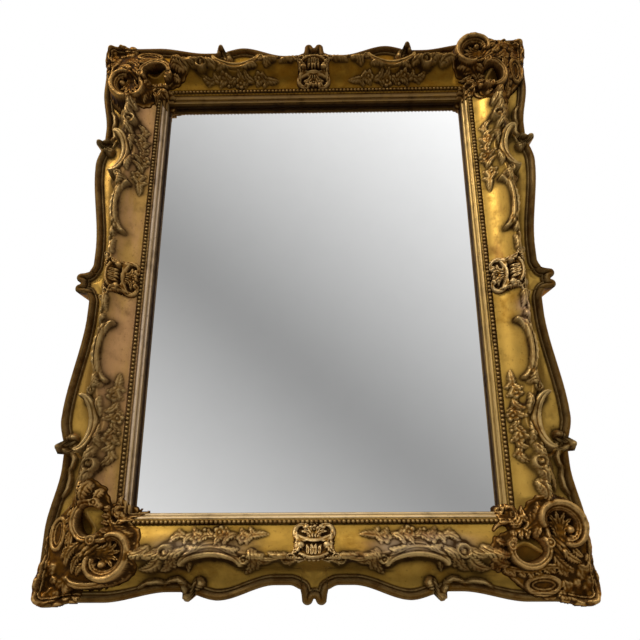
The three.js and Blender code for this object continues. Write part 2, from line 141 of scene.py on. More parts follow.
SIGHT_ROWS = np.vstack([
    [[0, LIP_TOP]],
    arc_rows((0, LIP_TOP), REED_TOP, 1.5, 6),
    arc_rows(REED_TOP, REED_FOOT, 1.7, 7),
    [[7.3, 37.2], [7.6, 38.8], [8.2, 39.4], [9.4, 39.7], [10.6, 39.8], [11.8, 39.9], [13.0, 40.0]],
    [[13.4, 39.2], [13.9, 38.9], [14.3, 39.5]],
    [PANEL_FOOT],
])


@dataclass(frozen=True)
class Swell:
    """A smooth step along a rail: its height, where it starts and how far it runs towards the corner."""

    height: float
    start: float
    run: float

    def at(self, e: Array) -> Array:
        """Its height at e before the corner of the sight opening."""
        return self.height * ease((self.start - e) / self.run)


@dataclass(frozen=True)
class Sweep:
    """Swept outline and section of the rails of one length.

    s runs along the rail from its middle, u outward from the sight edge. e is what is left of s up to
    the corner of the sight opening, and is negative past that corner.
    """

    half: float
    has_long_scroll: bool
    width: float = 80.0
    middle_rise: float = 5.0
    ear_half: float = 14.0
    ear_fall: float = 16.0
    ear_height: float = 9.5
    ear_flank: float = 1.6
    fork_place: float = 8.0
    fork_radius: float = 6.5
    crest_start: float = 45.0
    crest_place: float = 112.0
    crest_height: float = 16.0
    crest_fall: Swell = Swell(9.0, 112.0, 42.0)
    shoulder: Swell = Swell(11.0, 55.0, 75.0)
    foot: Swell = Swell(5.0, -50.0, 34.0)
    foot_end: Swell = Swell(9.0, -88.0, 22.0)
    tip_place: float = 78.0
    tip_half: float = 5.4
    tip_height: float = 8.6
    window_place: float = 105.0
    window_half: float = 26.0
    corner_window: Pair = (-20.0, 15.0)
    ridge_place: float = 48.0
    ridge_bend: float = 12.0
    ridge_drop: float = 8.0
    ridge_end: Swell = Swell(14.0, 16.0, 14.0)
    outline_reach: float = 118.0
    outline_step: float = 1.1
    outline_part: int = 14

    def swept(self, s: Array) -> Array:
        """Outer edge without its ear and its tips.

        Args:
            s: places along the rail.
        Returns:
            Places u of the edge.
        """
        along = np.abs(s)
        e = self.half - along
        crest = self.half - self.crest_place
        rise = (self.crest_height * ease((along - self.crest_start) / (crest - self.crest_start))
                - self.crest_fall.at(e))
        foot = self.foot.at(e) - self.foot_end.at(e)
        middle = self.middle_rise * (1 - ease((along - self.ear_half) / self.ear_fall)) ** 1.5
        return self.width + middle + rise + self.shoulder.at(e) + foot

    def edge(self, s: Array) -> Array:
        """Outer edge with its forked ear and its tips.

        Args:
            s: places along the rail.
        Returns:
            Places u of the edge.
        """
        along = np.abs(s)
        ear = (self.ear_height * (1 - ease((along - self.ear_half) / self.ear_flank))
               + self.fork_radius * dome((along - self.fork_place) / self.fork_radius))
        tip = self.tip_height * bell(((self.half - along - self.tip_place) / self.tip_half) ** 2)
        return self.swept(s) + ear + tip

    def distance(self, s: Array, u: Array) -> Array:
        """Distance inward from the outer edge, exact up to a little more than the moulding's width.

        Args:
            s: places along the rail.
            u: places outward from the sight edge.
        Returns:
            The distance, 0 past the edge.
        """
        s, u = np.broadcast_arrays(s, u)
        line = np.arange(-self.half - self.outline_reach, self.half + self.outline_reach, self.outline_step)
        outline = np.column_stack([line, self.edge(line)])
        reach = MOULDING_WIDTH + 8
        result = np.maximum(self.swept(s) - u, reach)
        for k in range(0, len(outline) - 1, self.outline_part):
            part = outline[k:k + self.outline_part + 1]
            near = (s > part[0, 0] - reach) & (s < part[-1, 0] + reach) & (u > part[:, 1].min() - reach)
            if near.any():
                result[near] = np.minimum(result[near], nearest(part, s[near], u[near])[0])
        return np.where(u > self.edge(s), 0, result)

    def window(self, s: Array) -> Array:
        """How much of a window there is at s: two on the rail, one more at one end.

        Args:
            s: places along the rail.
        Returns:
            Shares from 0 to 1.
        """
        e = self.half - np.abs(s)
        place, half = self.corner_window
        return bell((e - self.window_place) / self.window_half) + np.where(s < 0, bell((e - place) / half), 0)

    def ridge(self, s: Array) -> Array:
        """Middle of the ridge, which bends inward at the windows."""
        return self.ridge_place - self.ridge_bend * self.window(s)

    def ridge_depth(self, s: Array) -> Array:
        """Depth of the ridge, which drops at the windows and ends under the corner ornaments."""
        return RIDGE_DEPTH - self.ridge_drop * self.window(s) - self.ridge_end.at(self.half - np.abs(s))

    def depth(self, s: Array, u: Array) -> Array:
        """Depth of the plain section in front of the wall.

        Args:
            s: places along the rail.
            u: places outward from the sight edge.
        Returns:
            The depths.
        """
        ridge, away = self.ridge(s), self.distance(s, u)
        inner, outer = ridge - RIDGE_HALF, ridge + RIDGE_HALF
        shoulder = self.ridge_depth(s) - RIDGE_CROWN
        panel = np.clip((u - PANEL_FOOT[0]) / (inner - PANEL_FOOT[0]), 0, 1)
        sag = PANEL_SAG * np.sin(math.pi * panel)
        run = np.maximum(u - outer, 0)
        scoop = run / (run + np.maximum(away - MOULDING_WIDTH, 0) + 1e-6)
        return np.select(
            [u < PANEL_FOOT[0], u < inner, u < outer, away > MOULDING_WIDTH],
            [np.interp(u, SIGHT_ROWS[:, 0], SIGHT_ROWS[:, 1]),
             PANEL_FOOT[1] + (shoulder - PANEL_FOOT[1]) * panel - sag,
             shoulder + RIDGE_CROWN * dome((u - ridge) / RIDGE_HALF),
             SCOOP_FOOT + (shoulder - SCOOP_FOOT) * (1 - scoop) ** SCOOP_POWER],
            np.interp(away, ROLL_ROWS[:, 0], ROLL_ROWS[:, 1]))

    def rows(self, s: Array) -> Array:
        """Front rows of the mesh for each station, from the panel to the outer edge.

        Args:
            s: places of the stations.
        Returns:
            Places u of the rows, along the last axis.
        """
        edge, ridge = self.edge(s), self.ridge(s)
        foot = edge - MOULDING_WIDTH - 0.5
        inner, outer = ridge - RIDGE_HALF, ridge + RIDGE_HALF
        across = np.sin(np.linspace(-math.pi / 2, math.pi / 2, RIDGE_STEPS + 1))[1:]
        steep = steps(SCOOP_STEPS) ** 1.25
        roll = 1 - (1 - steps(ROLL_STEPS)) ** 1.3
        return np.concatenate([
            PANEL_FOOT[0] + steps(PANEL_STEPS) * (inner - PANEL_FOOT[0])[..., None],
            ridge[..., None] + RIDGE_HALF * across,
            outer[..., None] + steep * (foot - outer)[..., None],
            foot[..., None] + roll * (edge - foot)[..., None],
        ], axis=-1)


def roll_rows() -> Array:
    """Profile of the outer moulding from its edge inward: a roll, a quirk and a small bead.

    Returns:
        Points of distance from the edge and depth.
    """
    radius, quirk = 3.9, SCOOP_FOOT + 1.5
    turn = np.linspace(0, math.pi, ROLL_STEPS)
    rise = np.where(turn < math.pi / 2, MOULDING_CROWN - MOULDING_EDGE, MOULDING_CROWN - quirk)
    roll = np.column_stack([radius - radius * np.cos(turn), MOULDING_CROWN - rise * (1 - np.sin(turn))])
    bead = [[8.3, 31.2], [8.7, 33.6], [9.4, 34.6], [10.2, 34.2], [10.7, 32.6], [MOULDING_WIDTH, SCOOP_FOOT]]
    return np.vstack([roll, bead])


ROLL_ROWS = roll_rows()
SHORT = Sweep(SIGHT_WIDTH / 2, False)
LONG = Sweep(SIGHT_HEIGHT / 2, True)


class Sheet:
    """Carved relief on a raster: depths in front of the wall over two directions in the wall's plane.

    base is the plain surface, ground what shapes stand on, and depth the relief so far. The masks for the
    finish are dirt with painted shade in the creases, rubbed wear with painted highlight on the crests, and
    how far each place is carved.
    """

    FINE, BROAD = 1.0, 4.0
    TOOL_MARKS = (0.9, 2.2)

    def __init__(self, low: Pair, high: Pair, cell: float, base: Callable[[Array, Array], Array]) -> None:
        """Lays out the raster.

        Args:
            low: smallest place along both directions.
            high: largest place along both directions.
            cell: pitch of the raster.
            base: depth of the plain surface.
        """
        self.low, self.cell = np.array(low, float), cell
        count = ((np.array(high) - self.low) / cell).astype(int) + 1
        places = (start + cell * np.arange(n) for start, n in zip(low, count))
        self.x, self.y = np.meshgrid(*places, indexing="ij")
        self.base = base(self.x, self.y)
        self.depth = self.base.copy()
        self.ground = self.base
        self.grime, self.rub, self.carved = (np.zeros_like(self.base) for _ in range(3))

    def area(self, points: Array, margin: float) -> tuple[slice, slice]:
        """Part of the raster round some points.

        Args:
            points: the points.
            margin: how far past them it reaches.
        Returns:
            Slices of the raster.
        """
        low = np.floor((np.min(points, axis=0) - margin - self.low) / self.cell).astype(int)
        high = np.ceil((np.max(points, axis=0) + margin - self.low) / self.cell).astype(int) + 1
        return np.s_[max(low[0], 0):max(high[0], 0), max(low[1], 0):max(high[1], 0)]

    def seat(self, area: tuple[slice, slice], lift: float, level: float | Array) -> Array:
        """Depth on which a shape stands: lifted off the body, or at a level where that is higher."""
        return np.maximum(self.ground[area] + lift, level)

    def raise_to(self, area: tuple[slice, slice], top: Array) -> None:
        """Raises part of the sheet where a new shape stands above it."""
        self.depth[area] = np.maximum(self.depth[area], top)

    def roughen(self, amount: float, seed: int) -> None:
        """Makes the carved parts slightly uneven, as cut and coated by hand.

        Args:
            amount: size of the unevenness.
            seed: seed of its noise.
        """
        noise = np.random.default_rng(seed).standard_normal(self.depth.shape)
        uneven = sum(blurred(noise, width / self.cell) * width / self.cell for width in self.TOOL_MARKS)
        self.depth = self.depth + amount * uneven * np.clip((self.depth - self.base) / 2, 0, 1)

    def mark_dirt_shade_and_highlights(self) -> None:
        """Works out from the relief where dirt and painted shade darken the creases and where rubbed wear and
        painted highlight lighten the crests.
        """
        relief = self.depth - self.base
        broad = blurred(relief, self.BROAD / self.cell) - relief
        fine = blurred(self.depth, self.FINE / self.cell) - self.depth
        # Painted shade with dirt in the creases, and painted highlight with rubbed wear on the crests
        self.grime = np.clip(broad / 2.0 + fine / 0.55, 0, 1)
        self.rub = np.clip(-fine / 0.5 - broad / 4.0 - 0.25, 0, 1)
        self.carved = np.clip(relief / 0.8, 0, 1)

    def sample(self, image: Array, x: Array, y: Array) -> Array:
        """Values of a raster at free places, linear between its cells.

        Args:
            image: the raster.
            x: first place.
            y: second place.
        Returns:
            The values.
        """
        i = np.clip((x - self.low[0]) / self.cell, 0, image.shape[0] - 1.001)
        j = np.clip((y - self.low[1]) / self.cell, 0, image.shape[1] - 1.001)
        i0, j0 = i.astype(int), j.astype(int)
        a, b = i - i0, j - j0
        return ((1 - a) * (1 - b) * image[i0, j0] + a * (1 - b) * image[i0 + 1, j0]
                + (1 - a) * b * image[i0, j0 + 1] + a * b * image[i0 + 1, j0 + 1])


def nearest(path: Array, x: Array, y: Array) -> tuple[Array, Array, Array]:
    """Nearest point of a path for each cell.

    Args:
        path: points of the path.
        x: first place of the cells.
        y: second place of the cells.
    Returns:
        Distance, place along the path from 0 to 1, and signed distance to its left.
    """
    best = np.full(x.shape, np.inf)
    along, side = np.zeros(x.shape), np.zeros(x.shape)
    lengths = np.hypot(*np.diff(path, axis=0).T)
    start, total = 0.0, lengths.sum()
    for (ax, ay), (bx, by), step in zip(path[:-1], path[1:], lengths):
        tx, ty = (bx - ax) / step, (by - ay) / step
        k = np.clip((x - ax) * tx + (y - ay) * ty, 0, step)
        dx, dy = x - ax - k * tx, y - ay - k * ty
        far = dx * dx + dy * dy
        closer = far < best
        best = np.where(closer, far, best)
        along = np.where(closer, (start + k) / total, along)
        side = np.where(closer, np.sign(tx * dy - ty * dx), side)
        start += step
    distance = np.sqrt(best)
    return distance, along, side * distance


def scroll_path(start: Sequence[float], end: Sequence[float], bow: float, curl: float = 3.4) -> Array:
    """A path whose bend tightens into a curl at each end.

    Args:
        start: where the first curl begins.
        end: where the last curl begins.
        bow: half turns of the whole bend, positive to the left.
        curl: how much tighter the ends bend.
    Returns:
        Points of the path.
    """
    count = 56
    t = np.abs(2 * np.arange(count) / (count - 1) - 1)
    heading = np.cumsum(math.pi * bow * (1 + curl * t ** 3) / count)
    stride = 1.15 - t ** 2
    raw = np.concatenate([[0], np.cumsum(np.exp(1j * heading) * stride)])
    first, last = raw[count // 8], raw[-count // 8]
    target = complex(end[0] - start[0], end[1] - start[1])
    placed = (raw - first) * (target / (last - first)) + complex(*start)
    return np.column_stack([placed.real, placed.imag])


def arc_path(centre: Sequence[float], radius: float, start: float, sweep: float, pinch: float = 0.0) -> Array:
    """An arc about a centre that may wind inward at both ends.

    Args:
        centre: its centre.
        radius: its radius.
        start: angle of its first point, in degrees.
        sweep: angle that it covers, in degrees, positive to the left.
        pinch: share of the radius that the ends wind inward.
    Returns:
        Points of the path.
    """
    t = np.linspace(0, 1, 60)
    angle = np.radians(start + sweep * t)
    reach = radius * (1 - pinch * np.abs(2 * t - 1) ** 4)
    return np.column_stack([centre[0] + reach * np.cos(angle), centre[1] + reach * np.sin(angle)])


def bent(root: Sequence[float], tip: Sequence[float], bend: float) -> Array:
    """A bent spine between two points.

    Args:
        root: first point.
        tip: last point.
        bend: its sag as a share of its length, positive to the left.
    Returns:
        Points of the spine.
    """
    t = np.linspace(0, 1, 15)
    a, b = complex(*root), complex(*tip)
    line = a + (b - a) * t + 1j * (b - a) * bend * 4 * t * (1 - t)
    return np.column_stack([line.real, line.imag])


# Shapes that carve a sheet: the raised ones stand on the seat that their level and lift give
@dataclass
class Bar:
    """A raised band along a path: one round rib, or several side by side, with buttons at its ends.

    taper is how much thinner its ends are, flat how high it is for its width, and notches are cut into
    its left edge.
    """

    path: Array
    radius: float
    level: float | Callable[[Array], Array] = 0.0
    lift: float = 0.0
    taper: float = 0.45
    ribs: int = 1
    flat: float = 1.0
    buttons: float = 0.0
    notches: int = 0

    def carve(self, sheet: Sheet) -> None:
        """Raises the sheet to the band.

        Args:
            sheet: the sheet that is carved.
        """
        area = sheet.area(self.path, 2 * self.radius)
        _, t, side = nearest(self.path, sheet.x[area], sheet.y[area])
        size = self.radius * (1 - self.taper * np.abs(2 * t - 1) ** 2)
        if self.notches:
            size = size * (1 - 0.22 * np.abs(np.sin(math.pi * self.notches * t)) * (side > 0))
        across = side / size
        body = dome(across)
        if self.ribs > 1:
            lane = np.mod((across + 1) / 2 * self.ribs, 1)
            body = body ** 0.6 * (0.35 + 0.65 * dome(2 * lane - 1))
        level = self.level(sheet.x[area]) if callable(self.level) else self.level
        top = sheet.seat(area, self.lift, level) + size * self.flat * body
        sheet.raise_to(area, np.where(np.abs(across) < 1, top, -np.inf))
        if self.buttons:
            for end in (self.path[0], self.path[-1]):
                button = Knob(end, self.radius * self.buttons, self.radius * 0.9, self.level, self.lift)
                button.carve(sheet)


@dataclass
class Groove:
    """A cut along a path."""

    path: Array
    half: float
    depth: float

    def carve(self, sheet: Sheet) -> None:
        """Lowers the sheet along the cut.

        Args:
            sheet: the sheet that is carved.
        """
        area = sheet.area(self.path, 3 * self.half)
        distance, t, _ = nearest(self.path, sheet.x[area], sheet.y[area])
        sheet.depth[area] -= self.depth * bell(distance / self.half) * ease(t * 6) * ease((1 - t) * 6)


@dataclass
class Hollow:
    """A round or oval dish, or a hole down to the plain surface where it is full."""

    centre: Sequence[float]
    radii: Sequence[float]
    depth: float
    full: bool = False

    def carve(self, sheet: Sheet) -> None:
        """Lowers the sheet inside the dish.

        Args:
            sheet: the sheet that is carved.
        """
        q = np.hypot((sheet.x - self.centre[0]) / self.radii[0], (sheet.y - self.centre[1]) / self.radii[1])
        if self.full:
            sheet.depth = np.where(q < 1, sheet.base - 1, sheet.depth)
        else:
            sheet.depth = sheet.depth - self.depth * np.clip(1 - q * q, 0, 1) ** 1.5


@dataclass
class Knob:
    """A round button."""

    centre: Sequence[float]
    radius: float
    rise: float
    level: float = 0.0
    lift: float = 0.0

    def carve(self, sheet: Sheet) -> None:
        """Raises the sheet to the button.

        Args:
            sheet: the sheet that is carved.
        """
        area = sheet.area(np.array([self.centre]), self.radius)
        r = np.hypot(sheet.x[area] - self.centre[0], sheet.y[area] - self.centre[1]) / self.radius
        top = sheet.seat(area, self.lift, self.level) + self.rise * dome(r)
        sheet.raise_to(area, np.where(r < 1, top, -np.inf))


@dataclass
class Leaf:
    """A lobed leaf on a bent spine, with a groove down its middle and a vein to each lobe."""

    root: Sequence[float]
    tip: Sequence[float]
    width: float
    rise: float
    bend: float = 0.12
    lobes: int = 4
    level: float = 0.0
    lift: float = 0.0

    def carve(self, sheet: Sheet) -> None:
        """Raises the sheet to the leaf.

        Args:
            sheet: the sheet that is carved.
        """
        spine = bent(self.root, self.tip, self.bend)
        area = sheet.area(spine, self.width / 2)
        distance, t, _ = nearest(spine, sheet.x[area], sheet.y[area])
        phase = (t - 0.5 * distance / self.width) * self.lobes
        lobe = np.abs(np.sin(math.pi * phase)) ** 0.6
        outline = self.width / 2 * np.sin(math.pi * np.clip(t, 0, 1) ** 0.7) ** 0.7 * (0.6 + 0.4 * lobe)
        across = distance / np.maximum(outline, 1e-3)
        body = (0.45 + 0.55 * np.sin(math.pi * np.clip(t, 0.02, 1) ** 0.8)) * dome(across ** 1.5)
        cut = 0.32 * bell(distance / 0.8) + 0.2 * (1 - lobe) * np.clip(across * 1.5, 0, 1)
        top = sheet.seat(area, self.lift, self.level) + self.rise * (body - cut)
        sheet.raise_to(area, np.where(across < 1, top, -np.inf))


def fringe(path: Array, count: int, length: float, lean: float, **leaf: float) -> list[Leaf]:
    """Leaves that stand along a path.

    Args:
        path: points of the path.
        count: number of leaves.
        length: length of a leaf.
        lean: angle in degrees from the path to the leaves, positive to its left.
        leaf: other sizes of a leaf.
    Returns:
        The leaves.
    """
    leaves = []
    turn = complex(math.cos(math.radians(lean)), math.sin(math.radians(lean)))
    for k in range(count):
        n = int((k + 0.5) / count * (len(path) - 2))
        step = complex(*(path[n + 1] - path[n]))
        reach = step / abs(step) * length * turn
        root = complex(*path[n])
        leaves.append(Leaf((root.real, root.imag), ((root + reach).real, (root + reach).imag), **leaf))
    return leaves


@dataclass
class Flower:
    """A flower with cupped petals round a button."""

    centre: Sequence[float]
    radius: float
    rise: float
    petals: int = 5
    turn: float = 0.0
    level: float = 0.0
    lift: float = 0.0

    def carve(self, sheet: Sheet) -> None:
        """Raises the sheet to the flower.

        Args:
            sheet: the sheet that is carved.
        """
        area = sheet.area(np.array([self.centre]), self.radius)
        dx, dy = sheet.x[area] - self.centre[0], sheet.y[area] - self.centre[1]
        r, angle = np.hypot(dx, dy), np.arctan2(dy, dx) - self.turn
        petal = np.abs(np.cos(self.petals * angle / 2))
        q = r / (self.radius * (0.5 + 0.5 * petal ** 0.6))
        cup = (0.4 + 0.6 * q ** 1.5) * np.sqrt(np.clip(1 - q ** 6, 0, 1)) * (0.65 + 0.35 * petal)
        button = 0.95 * dome(r / (0.27 * self.radius))
        top = sheet.seat(area, self.lift, self.level) + self.rise * np.maximum(cup, button)
        sheet.raise_to(area, np.where(q < 1, top, -np.inf))


@dataclass
class Volute:
    """A spiral curl with an eye."""

    centre: Sequence[float]
    radius: float
    rise: float
    turn: float = 0.0
    hand: int = 1
    level: float = 0.0
    lift: float = 0.0
    hollow: float = 0.75

    def carve(self, sheet: Sheet) -> None:
        """Raises the sheet to the curl.

        Args:
            sheet: the sheet that is carved.
        """
        area = sheet.area(np.array([self.centre]), self.radius)
        dx, dy = sheet.x[area] - self.centre[0], sheet.y[area] - self.centre[1]
        q, angle = np.hypot(dx, dy) / self.radius, self.hand * np.arctan2(dy, dx) - self.turn
        wave = 0.5 + 0.5 * np.cos(angle + 2 * math.pi * 1.35 * (1 - q))
        rim = bell((q - 0.84) / 0.16)
        inside = 1 - self.hollow * (q < 0.84) * (1 - wave * 0.5) * (1 - rim)
        eye = 0.85 * dome(q / 0.3)
        top = sheet.seat(area, self.lift, self.level) + self.rise * np.maximum(
            np.sqrt(np.clip(1 - q ** 8, 0, 1)) * inside, eye)
        sheet.raise_to(area, np.where(q < 1, top, -np.inf))


def inside_polygon(points: Array, x: Array, y: Array) -> Array:
    """Whether each cell lies inside a closed outline.

    Args:
        points: points of the outline.
        x: first place of the cells.
        y: second place of the cells.
    Returns:
        A truth value for each cell.
    """
    result = np.zeros(x.shape, bool)
    for (ax, ay), (bx, by) in zip(points, np.roll(points, -1, axis=0)):
        if ay == by:
            continue
        crossing = (ay > y) != (by > y)
        result ^= crossing & (x < (bx - ax) * (y - ay) / (by - ay) + ax)
    return result


@dataclass
class Pad:
    """A casting's body: a skin of one thickness over the surface, within an outline that has small lobes."""

    outline: Array
    thickness: float
    lobes: float = 1.2
    rounding: float = 2.5

    def carve(self, sheet: Sheet) -> None:
        """Raises the sheet to the skin.

        Args:
            sheet: the sheet that is carved.
        """
        closed = np.vstack([self.outline, self.outline[:1]])
        distance, t, _ = nearest(closed, sheet.x, sheet.y)
        signed = np.where(inside_polygon(self.outline, sheet.x, sheet.y), distance, -distance)
        signed = signed + self.lobes * np.sin(t * math.pi * 2 * 34) * np.sin(t * math.pi * 2 * 9 + 1)
        top = sheet.base + self.thickness * dome(1 - np.clip(signed / self.rounding, 0, 1))
        sheet.raise_to(np.s_[:, :], np.where(signed > 0, top, -np.inf))


@dataclass
class RailCarving:
    """Carving of one half of a rail, with s counted away from the middle.

    end is -1 or 1, the end that this half runs to. sway is the place u of the middle of the spray.
    """

    sweep: Sweep
    end: int
    crease: float = RIDGE_DEPTH - 2
    window: Pair = (137.0, 73.0)
    sway: float = 25.0
    spray_leaves: tuple[float, ...] = (158, 150, 143, 130, 124, 117, 104, 98, 91, 78, 72, 66)
    flowers: tuple[float, ...] = (140, 112, 86)

    def sheet(self) -> Sheet:
        """Carves the half rail.

        Returns:
            The carved sheet.
        """
        half = self.sweep.half
        sheet = Sheet((-14, -2), (half + 112, 112), RASTER_CELL, self.plain)
        shapes = self.outer_scroll() + self.window_scroll() + self.leaves() + self.garland() + self.spray()
        if self.sweep.has_long_scroll:
            shapes += self.long_scroll()
        for shape in shapes:
            shape.carve(sheet)
        cut = self.path((84, 96), (84.5, 84), (87, 76), (84, 70))
        Groove(cut, 1.5, 5.5).carve(sheet)
        sheet.roughen(0.22, 11 + self.end)
        for spot in np.arange(BEAD_PITCH / 2, half + BEAD_PLACE, BEAD_PITCH):
            Knob((spot, BEAD_PLACE), BEAD_RADIUS, BEAD_RADIUS, level=BEAD_DEPTH).carve(sheet)
        sheet.mark_dirt_shade_and_highlights()
        self.darken_and_paint_bead_shade(sheet)
        return sheet

    def plain(self, s: Array, u: Array) -> Array:
        """Depth of the section under the carving."""
        return self.sweep.depth(self.end * s, u)

    def ridge_level(self, s: Array) -> Array:
        """Level of the window's scroll, which follows the ridge."""
        return self.sweep.ridge_depth(self.end * s) - 2.0

    def at(self, e: float) -> float:
        """Place s that lies e before the corner of the sight opening."""
        return self.sweep.half - e

    def path(self, *points: Pair) -> Array:
        """Path through points that are given by e and u."""
        return np.array([(self.at(e), u) for e, u in points])

    def leaf(self, root: Pair, tip: Pair, *sizes: float, **seat: float) -> Leaf:
        """Leaf between two points that are given by e and u."""
        return Leaf((self.at(root[0]), root[1]), (self.at(tip[0]), tip[1]), *sizes, **seat)

    def outer_scroll(self) -> list:
        """The curled tip on the moulding and the wave beside it.

        Returns:
            The shapes.
        """
        level = SCOOP_FOOT + 3
        return [
            Knob((self.at(89), 78), 7.0, 9.5, level=SCOOP_FOOT + 0.5),
            Knob((self.at(77.5), 93.5), 5.6, 8.5, level=SCOOP_FOOT + 1),
            Bar(self.path((76, 90), (72, 79), (64, 73.5), (56, 75), (50, 78.5)), 3.2, level=level, taper=0.3),
            Bar(self.path((50, 78), (40, 76), (28, 77.5), (20, 82)), 3.0, level=level, taper=0.3),
        ]

    def window_scroll(self) -> list:
        """The ribbed scroll over the window, with its fringe and its curl.

        Returns:
            The shapes.
        """
        reach, bow = (60, 0.66) if self.sweep.has_long_scroll else (53, 0.5)
        first, last = (self.at(e) for e in self.window)
        path = scroll_path((first, reach), (last, reach), bow)
        frill = {"width": 6.5, "rise": 3.4, "lobes": 3, "lift": 2.0}
        return [
            Bar(path, 6.4, level=self.ridge_level, ribs=2, flat=0.8, taper=0.5),
            Volute((self.at(144), 52), 5.0, 5, 0.6, -1, level=self.crease - 1),
            *fringe(path[6:22], 3, 6.5, 62, **frill),
            *fringe(path[36:52], 3, 6.5, 118, **frill),
        ]

    def leaves(self) -> list:
        """The leaves before, inside and behind the window, up to the corner ornament.

        Returns:
            The shapes.
        """
        crease = self.crease
        return [
            self.leaf((150, 40), (142, 68), 12, 6, 0.2, 5, lift=0.5),
            self.leaf((154, 42), (156, 64), 10, 5.5, 0.1, 5, lift=0.5),
            self.leaf((158, 44), (170, 56), 9, 5, -0.2, 3, lift=0.5),
            self.leaf((76, 40), (62, 62), 11, 6, -0.2, 5, lift=0.5),
            self.leaf((74, 46), (76, 66), 8, 5, 0.1, 4, lift=0.5),
            Volute((self.at(54), 43), 8.4, 7.5, 2.2, 1, level=crease - 2),
            self.leaf((50, 40), (27, 47), 13, 6.5, 0.16, 6, level=crease - 4),
            self.leaf((48, 50), (20, 62), 12, 7, 0.14, 6, lift=2.5),
            self.leaf((34, 38), (8, 44), 14, 6.5, 0.16, 6, level=crease - 6),
            self.leaf((58, 50), (44, 64), 9, 5, 0.2, 4, lift=1.0),
            self.leaf((104, 40), (76, 36), 9, 4, 0.1, 4, lift=1.2),
            self.leaf((112, 38), (138, 40), 9, 4, -0.1, 4, lift=1.2),
        ]

    def garland(self) -> list:
        """The curl, strand and leaves beside the ornament on the middle.

        Returns:
            The shapes.
        """
        crease = self.crease
        return [
            Volute((31, 52), 5.2, 5.0, 1.0, 1, level=crease - 5),
            Leaf((17, 50), (29, 59), 8, 5, -0.2, 4, level=crease - 8),
            Leaf((27, 49), (45, 52), 8, 5, -0.15, 4, level=crease - 2),
            Bar(scroll_path((44, 50), (60, 48), -0.5), 2.2, level=crease - 1, buttons=1.5),
            Leaf((34, 46), (52, 43), 7, 4.5, 0.15, 4, level=crease - 3),
            Leaf((48, 52), (60, 58), 7, 4.5, -0.1, 4, lift=1.0),
            Leaf((56, 46), (70, 50), 8, 4, 0.1, 4, lift=1),
        ]

    def spray(self) -> list:
        """The stem on the panel with its uneven leaves, flowers and berries.

        Returns:
            The shapes.
        """
        rng = np.random.default_rng(7)
        stem = bent((self.at(150), self.sway + 2), (self.at(66), self.sway - 2), 0.04)
        shapes = [Bar(stem, 1.0, lift=0.1, taper=0.2)]
        middle = self.sway + 0.5
        for k, e in enumerate(self.spray_leaves):
            out = 1 if k % 2 else -1
            root = (self.at(e + 3), middle - rng.uniform(0, 1.5) * out)
            tip = (self.at(e - rng.uniform(4, 11)), middle + out * rng.uniform(8, 11.5))
            shapes.append(Leaf(root, tip, rng.uniform(6.5, 9.5), rng.uniform(3.2, 4.6), -0.22 * out, 3))
        shapes.append(self.leaf((148, self.sway + 2), (171, self.sway), 9, 3.8, 0.06, 5))
        for k, e in enumerate(self.flowers):
            out = (-1) ** k
            shapes.append(Flower((self.at(e), self.sway + 3.0 * out), 7.8, 5.0, 5, 0.7 * k))
            shapes.append(Knob((self.at(e + 8), self.sway - 5.5 * out), 2.2, 2.8, lift=0.2))
        return shapes

    def long_scroll(self) -> list:
        """The long scroll of a side rail, and the stalk that joins it to the window.

        Returns:
            The shapes.
        """
        stalk = self.path((70, 50), (64, 57), (65, 65), (72, 72), (82, 77))
        path = scroll_path((68, 41), (140, 41), -0.5)
        return [
            Bar(stalk, 2.8, lift=1.2, taper=0.5),
            Bar(path, 6.4, level=RIDGE_DEPTH - 3, ribs=2, flat=0.8, taper=0.6, notches=9),
            Leaf((82, 47), (66, 56), 9, 4.5, -0.15, 4, lift=1),
        ]

    def darken_and_paint_bead_shade(self, sheet: Sheet) -> None:
        """Paints shade with dirt between the beads, and darkens the moulding and the ridge.

        Args:
            sheet: the half rail's sheet.
        """
        moulding = ease((MOULDING_WIDTH + 1 - self.sweep.distance(sheet.x, sheet.y)) / 1.5)
        ridge = 0.7 * bell((sheet.y - self.sweep.ridge(self.end * sheet.x)) / 4)
        sheet.carved = np.maximum(sheet.carved, np.maximum(moulding, ridge))
        sheet.grime = np.maximum(sheet.grime, 0.42 * moulding)
        # Painted shade, with dirt, in the band between the beads
        beads = np.abs(sheet.y - BEAD_PLACE) < BEAD_RADIUS + 0.4
        sheet.grime = np.where(beads, np.maximum(sheet.grime, 0.75), sheet.grime)


def make_piece(name: str, points: Array, faces: list, masks: dict[str, Array]) -> bpy.types.Object:
    """Makes a smooth piece with a value of each mask at its points.

    Args:
        name: name of the piece.
        points: its points in millimetres.
        faces: lists of point numbers.
        masks: a value at each point, by name.
    Returns:
        The new object, which rides on the root and takes the place of its CAD node.
    """
    mesh = bpy.data.meshes.new(name)
    mesh.from_pydata((points * MM).tolist(), [], faces)
    for key, values in masks.items():
        layer = mesh.attributes.new(key, "FLOAT", "POINT")
        layer.data.foreach_set("value", np.ascontiguousarray(values, dtype=np.float32))
    mesh.validate()
    piece = bpy.data.objects.new(name, mesh)
    bpy.context.collection.objects.link(piece)
    mesh.shade_smooth()
    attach(piece, "root")
    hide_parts(name)
    return piece


def grid_faces(rows: int, columns: int) -> Array:
    """Quads of a grid of points that is numbered row by row, with its last column joined to the first.

    Args:
        rows: number of rows.
        columns: number of points in a row.
    Returns:
        Four point numbers for each quad.
    """
    i, j = np.meshgrid(np.arange(rows - 1), np.arange(columns), indexing="ij")
    k = (j + 1) % columns
    return np.stack([i * columns + j, i * columns + k, (i + 1) * columns + k, (i + 1) * columns + j],
                    axis=-1).reshape(-1, 4)


def volume_sign(points: Array, quads: Array) -> float:
    """Signed volume under the quads, positive where they face outward."""
    a, b, c, d = (points[quads[:, k]] for k in range(4))
    return float(np.sum(np.einsum("ij,ij->i", a, np.cross(b, c) + np.cross(c, d))))


